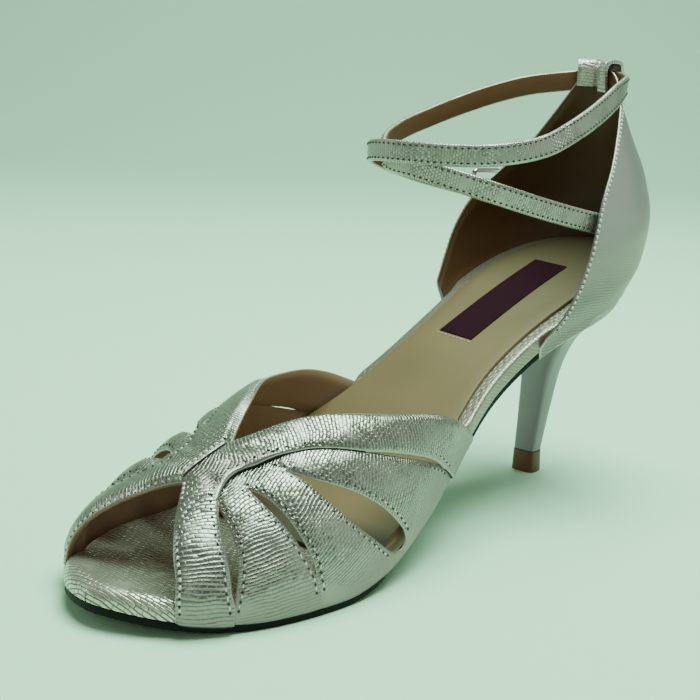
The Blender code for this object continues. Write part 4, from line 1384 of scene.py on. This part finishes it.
def make_heel():
    """Covered heel, flared from the stem's rings to the seat."""
    rings = [ring_d(*row) for row in HEEL]
    back, half, side = HEEL_TOP
    top = ring_d(BREAST_X - GAP, back, 0, 0, half, side)
    medial, lateral, _ = plan_sides(lambda x, lateral: 0.2 + 0 * x)
    rings.append([(x, min(max(y, lateral(x)), medial(x)), seat(x) + 0.1) for x, y, _ in top])
    columns = np.array(rings).transpose(1, 0, 2)
    fine = np.array([smooth_path(column, 60) for column in columns]).transpose(1, 0, 2)
    uvs = [[(j * 0.5, i * 1.0) for j in range(HEEL_SIDES)] for i in range(len(fine))]
    sheet = Sheet()
    sheet.rings(fine, uvs, [0] * HEEL_SIDES, caps=0)
    return sheet.build("heel_cover", [heel_foil], bevel=0.4, angle=50)


def make_top_piece():
    """Lift under the heel."""
    heights = (0, TOP_PIECE_H - GAP)
    rings = [ring_d(front, back, z, z, half, 0.0) for (front, back, half), z in zip(TOP_PIECE, heights)]
    sheet = Sheet()
    sheet.even_rings(rings, caps=0)
    return sheet.build("heel_top_piece", [lift_brown], bevel=0.4, angle=50)


# Stitching by Geometry Nodes

def stitch_group(thread):
    """Node group that lays one thread bead after another along a path."""
    group = bpy.data.node_groups.new("stitch row, " + thread.name, "GeometryNodeTree")
    sockets = {}
    for title, kind in (("Path", "NodeSocketGeometry"), ("Pitch", "NodeSocketFloat"),
                        ("Length", "NodeSocketFloat"), ("Thickness", "NodeSocketFloat")):
        sockets[title] = group.interface.new_socket(title, in_out="INPUT", socket_type=kind)
    group.interface.new_socket("Stitches", in_out="OUTPUT", socket_type="NodeSocketGeometry")
    given = add(group, "NodeGroupInput", out=None)
    spots = add(group, "GeometryNodeCurveToPoints", {"Curve": given["Path"], "Length": given["Pitch"]}, None,
                mode="LENGTH")
    bead = add(group, "GeometryNodeMeshUVSphere", {"Segments": 8, "Rings": 6, "Radius": 0.5})
    size = add(group, "ShaderNodeCombineXYZ", {"X": given["Thickness"], "Y": given["Thickness"],
                                               "Z": given["Length"]})
    laid = add(group, "GeometryNodeInstanceOnPoints", {"Points": spots["Points"], "Instance": bead,
                                                       "Rotation": spots["Rotation"], "Scale": size})
    real = add(group, "GeometryNodeRealizeInstances", {"Geometry": laid})
    coloured = add(group, "GeometryNodeSetMaterial", {"Geometry": real, "Material": thread})
    add(group, "NodeGroupOutput", {"Stitches": coloured}, None)
    return group, {title: socket.identifier for title, socket in sockets.items()}


def make_stitches(name, paths, thread, pitch, length, thickness, start):
    """Rows of stitches along paths in millimetres, from a start some way along them."""
    line = bpy.data.curves.new(name + "_path", "CURVE")
    line.dimensions = "3D"
    for path in paths:
        path = path[int(np.searchsorted(run_along(path), start)):]
        spline = line.splines.new("POLY")
        spline.points.add(len(path) - 1)
        spline.points.foreach_set("co", [c for p in path for c in (*(p * MM), 1.0)])
    rail = new_object(name + "_path", line)
    group, sockets = stitch_group(thread)
    sewing = rail.modifiers.new("sewing", "NODES")
    sewing.node_group = group
    for title, value in (("Pitch", pitch), ("Length", length), ("Thickness", thickness)):
        sewing[sockets[title]] = value * MM
    graph = bpy.context.evaluated_depsgraph_get()
    mesh = bpy.data.meshes.new_from_object(rail.evaluated_get(graph))
    piece = new_object(name, mesh)
    bpy.data.objects.remove(rail, do_unlink=True)
    piece.data.shade_smooth()
    return piece


def make_hole_marks():
    """Painted shade of the punched holes on the strap, as thin dark discs on its face."""
    sheet = Sheet()
    for place, out in strap_holes():
        side = unit(np.cross(out, np.array([0.0, 0.0, 1.0])))
        up = np.cross(side, out)
        ring = [place + HOLE_R * (math.cos(q) * side + math.sin(q) * up)
                for q in np.linspace(0, 2 * math.pi, 16, endpoint=False)]
        sheet.even_rings([[p - out * 0.2 for p in ring], [p + out * 0.06 for p in ring]], caps=0)
    return sheet.build("strap_holes", [hole_shade])


# Pieces

def seat_piece(piece, slot, *nodes):
    """Let a piece ride on the shoe and stand for its CAD nodes; its slot is not used."""
    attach(piece, "root")
    if nodes:
        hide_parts(*nodes)


seat_piece(make_vamp(), "silver_leather", "vamp")
seat_piece(make_counter(), "silver_leather", "counter")
seat_piece(make_loop(), "silver_leather", "strap_loop")
seat_piece(make_strap(), "silver_leather", "ankle_strap")
seat_piece(make_buckle(), "buckle_metal", "buckle_frame")
seat_piece(make_prong(), "buckle_metal", "buckle_prong")

seat_piece(make_insole(), "silver_edge", "insole")
seat_piece(make_sock(), "tan_lining", "sock")
seat_piece(make_outsole(), "black_sole", "outsole")
seat_piece(make_heel(), "heel_cover", "heel")
seat_piece(make_top_piece(), "top_piece", "top_piece")
seat_piece(make_label(), "tan_lining")

# Angles of the stitch rows on each side of the vamp: up to the ridge, and up to the knot
whole_sides = np.arange(6, 88, 1.5), np.arange(174, 92, -1.5)
low_sides = np.arange(6, 72, 1.5), np.arange(174, 108, -1.5)
rim_rows, vamp_rows = [ridge_seam()], [strip_seam(False), strip_seam(True)]
for whole_side, low_side in zip(whole_sides, low_sides):
    on_bands = low_side[:-4]
    rim_rows += [vamp_seam(*edge, whole_side, True) for edge in (("throat", RIM_INSET), ("toe", -RIM_INSET))]
    for line, outer in (("lap", -STITCH_INSET), ("slit four", STITCH_INSET)):
        vamp_rows += [vamp_seam(line, outer, low_side, True), vamp_seam(line, -outer, on_bands, False)]
    for line in ("slit two", "slit three"):
        vamp_rows += [vamp_seam(line, side * STITCH_INSET, on_bands, False) for side in (-1, 1)]
vamp_rows = [smooth_path(row, 200) for row in vamp_rows]
rim_rows = [smooth_path(row, 300) for row in rim_rows + [counter_seam(RIM_INSET)]]

# Rows of stitches: name, paths, thread, spacing, length, thickness, start along the path, slot
STITCH_ROWS = [
    ("vamp_holes", vamp_rows, thread_with_hole_shade, STITCH_PITCH, 1.0, 0.8, 0.0, "silver_leather"),
    ("vamp_stitches", vamp_rows, thread_bright, STITCH_PITCH, 1.1, 0.55, STITCH_PITCH / 2, "silver_leather"),
    ("rim_holes", rim_rows, thread_with_hole_shade, RIM_PITCH, 0.8, 0.85, 0.0, "silver_leather"),
    ("rim_stitches", rim_rows, thread_bright, RIM_PITCH, 1.3, 1.0, RIM_PITCH / 2, "silver_leather"),
    ("strap_stitches", strap_seams(), thread_with_hole_shade, STRAP_PITCH, 1.0, 0.7, 0.0, "silver_leather"),
    ("label_stitches", [label_seam()], thread_pale, LABEL_PITCH, 1.3, 0.4, 0.0, "tan_lining"),
]
for *stitching, slot in STITCH_ROWS:
    seat_piece(make_stitches(*stitching), slot)
seat_piece(make_hole_marks(), "silver_leather")

# Studio in metres: pale floor that rises into a backdrop, soft light from above and a gentle fill

FLOOR_AWAY = (-0.7365, -0.6403)
FLOOR_NEAR = -2.2
FLOOR_FAR = 1.0
FLOOR_HALF = 4.0
SWEEP_R = 0.6
WALL_TOP = 3.0
BOX_TINT = "#c9ffdc"

# Soft boxes: name, place, target, width and height, watts
SOFT_BOXES = [
    ("overhead_box", (-0.17, 0.03, 1.25), (0.09, 0.0, 0.03), (0.98, 0.8), 39.5),
    ("right_box", (-0.75, 1.05, 0.45), (0.05, 0.0, 0.07), (1.1, 0.9), 2.5),
    ("front_box", (1.25, 0.75, 0.5), (0.15, 0.0, 0.03), (0.9, 0.7), 1.6),
    ("left_box", (0.8, -0.9, 0.5), (0.1, 0.0, 0.05), (0.5, 0.9), 2.5),
]

# Camera at the photo's standpoint, with its roll
CAMERA_AT = (0.42066, 0.27716, 0.153)
CAMERA_FORWARD = (-0.73645, -0.64034, -0.21819)
CAMERA_UP = (-0.13396, -0.17811, 0.97485)
CAMERA_LENS = 73.0
CAMERA_SENSOR = 36.0

# matt paper of the floor: an even pale ground with a soft shadow
floor_paper = plain("pale studio paper", "#d6f3dd", metallic=0.0, rough=0.7)


def make_floor():
    """Floor behind and under the shoe, swept up into a wall far behind it."""
    away = unit(np.array(FLOOR_AWAY))
    wide = np.array([-away[1], away[0]])
    profile = [(FLOOR_NEAR, 0.0), (FLOOR_FAR, 0.0)]
    profile += [(FLOOR_FAR + SWEEP_R * math.sin(q), SWEEP_R - SWEEP_R * math.cos(q))
                for q in np.linspace(0.1, math.pi / 2, 16)]
    profile += [(FLOOR_FAR + SWEEP_R, WALL_TOP)]
    sides = (-FLOOR_HALF, FLOOR_HALF)
    points = [(*(away * far + wide * side), high) for far, high in profile for side in sides]
    faces = [(2 * i, 2 * i + 1, 2 * i + 3, 2 * i + 2) for i in range(len(profile) - 1)]
    mesh = bpy.data.meshes.new("studio_floor")
    mesh.from_pydata(points, [], faces)
    mesh.materials.append(floor_paper)
    mesh.shade_smooth()
    return new_object("studio_floor", mesh)


def make_soft_box(name, place, target, size, watts):
    """Area light turned to its target."""
    lamp = bpy.data.lights.new(name, "AREA")
    lamp.shape = "RECTANGLE"
    lamp.size, lamp.size_y = size
    lamp.energy = watts
    lamp.color = linear(BOX_TINT)[:3]
    aim = Vector(target) - Vector(place)
    turned = aim.to_track_quat("-Z", "Y").to_matrix().to_4x4()
    new_object(name, lamp).matrix_world = Matrix.Translation(place) @ turned


def make_camera():
    """Camera of the scene, turned by its forward and up directions."""
    lens = bpy.data.cameras.new("photo_camera")
    lens.lens = CAMERA_LENS
    lens.sensor_width = CAMERA_SENSOR
    forward, up = Vector(CAMERA_FORWARD).normalized(), Vector(CAMERA_UP).normalized()
    turned = Matrix((forward.cross(up), up, -forward)).transposed()
    camera = new_object("photo_camera", lens)
    camera.matrix_world = Matrix.Translation(CAMERA_AT) @ turned.to_4x4()
    return camera


make_floor()
for box in SOFT_BOXES:
    make_soft_box(*box)
bpy.context.scene.camera = make_camera()

world = bpy.data.worlds.new("studio")
bpy.context.scene.world = world
world.use_nodes = True
sky = world.node_tree.nodes["Background"]
sky.inputs["Color"].default_value = linear("#dcdfd8")
sky.inputs["Strength"].default_value = 0.2
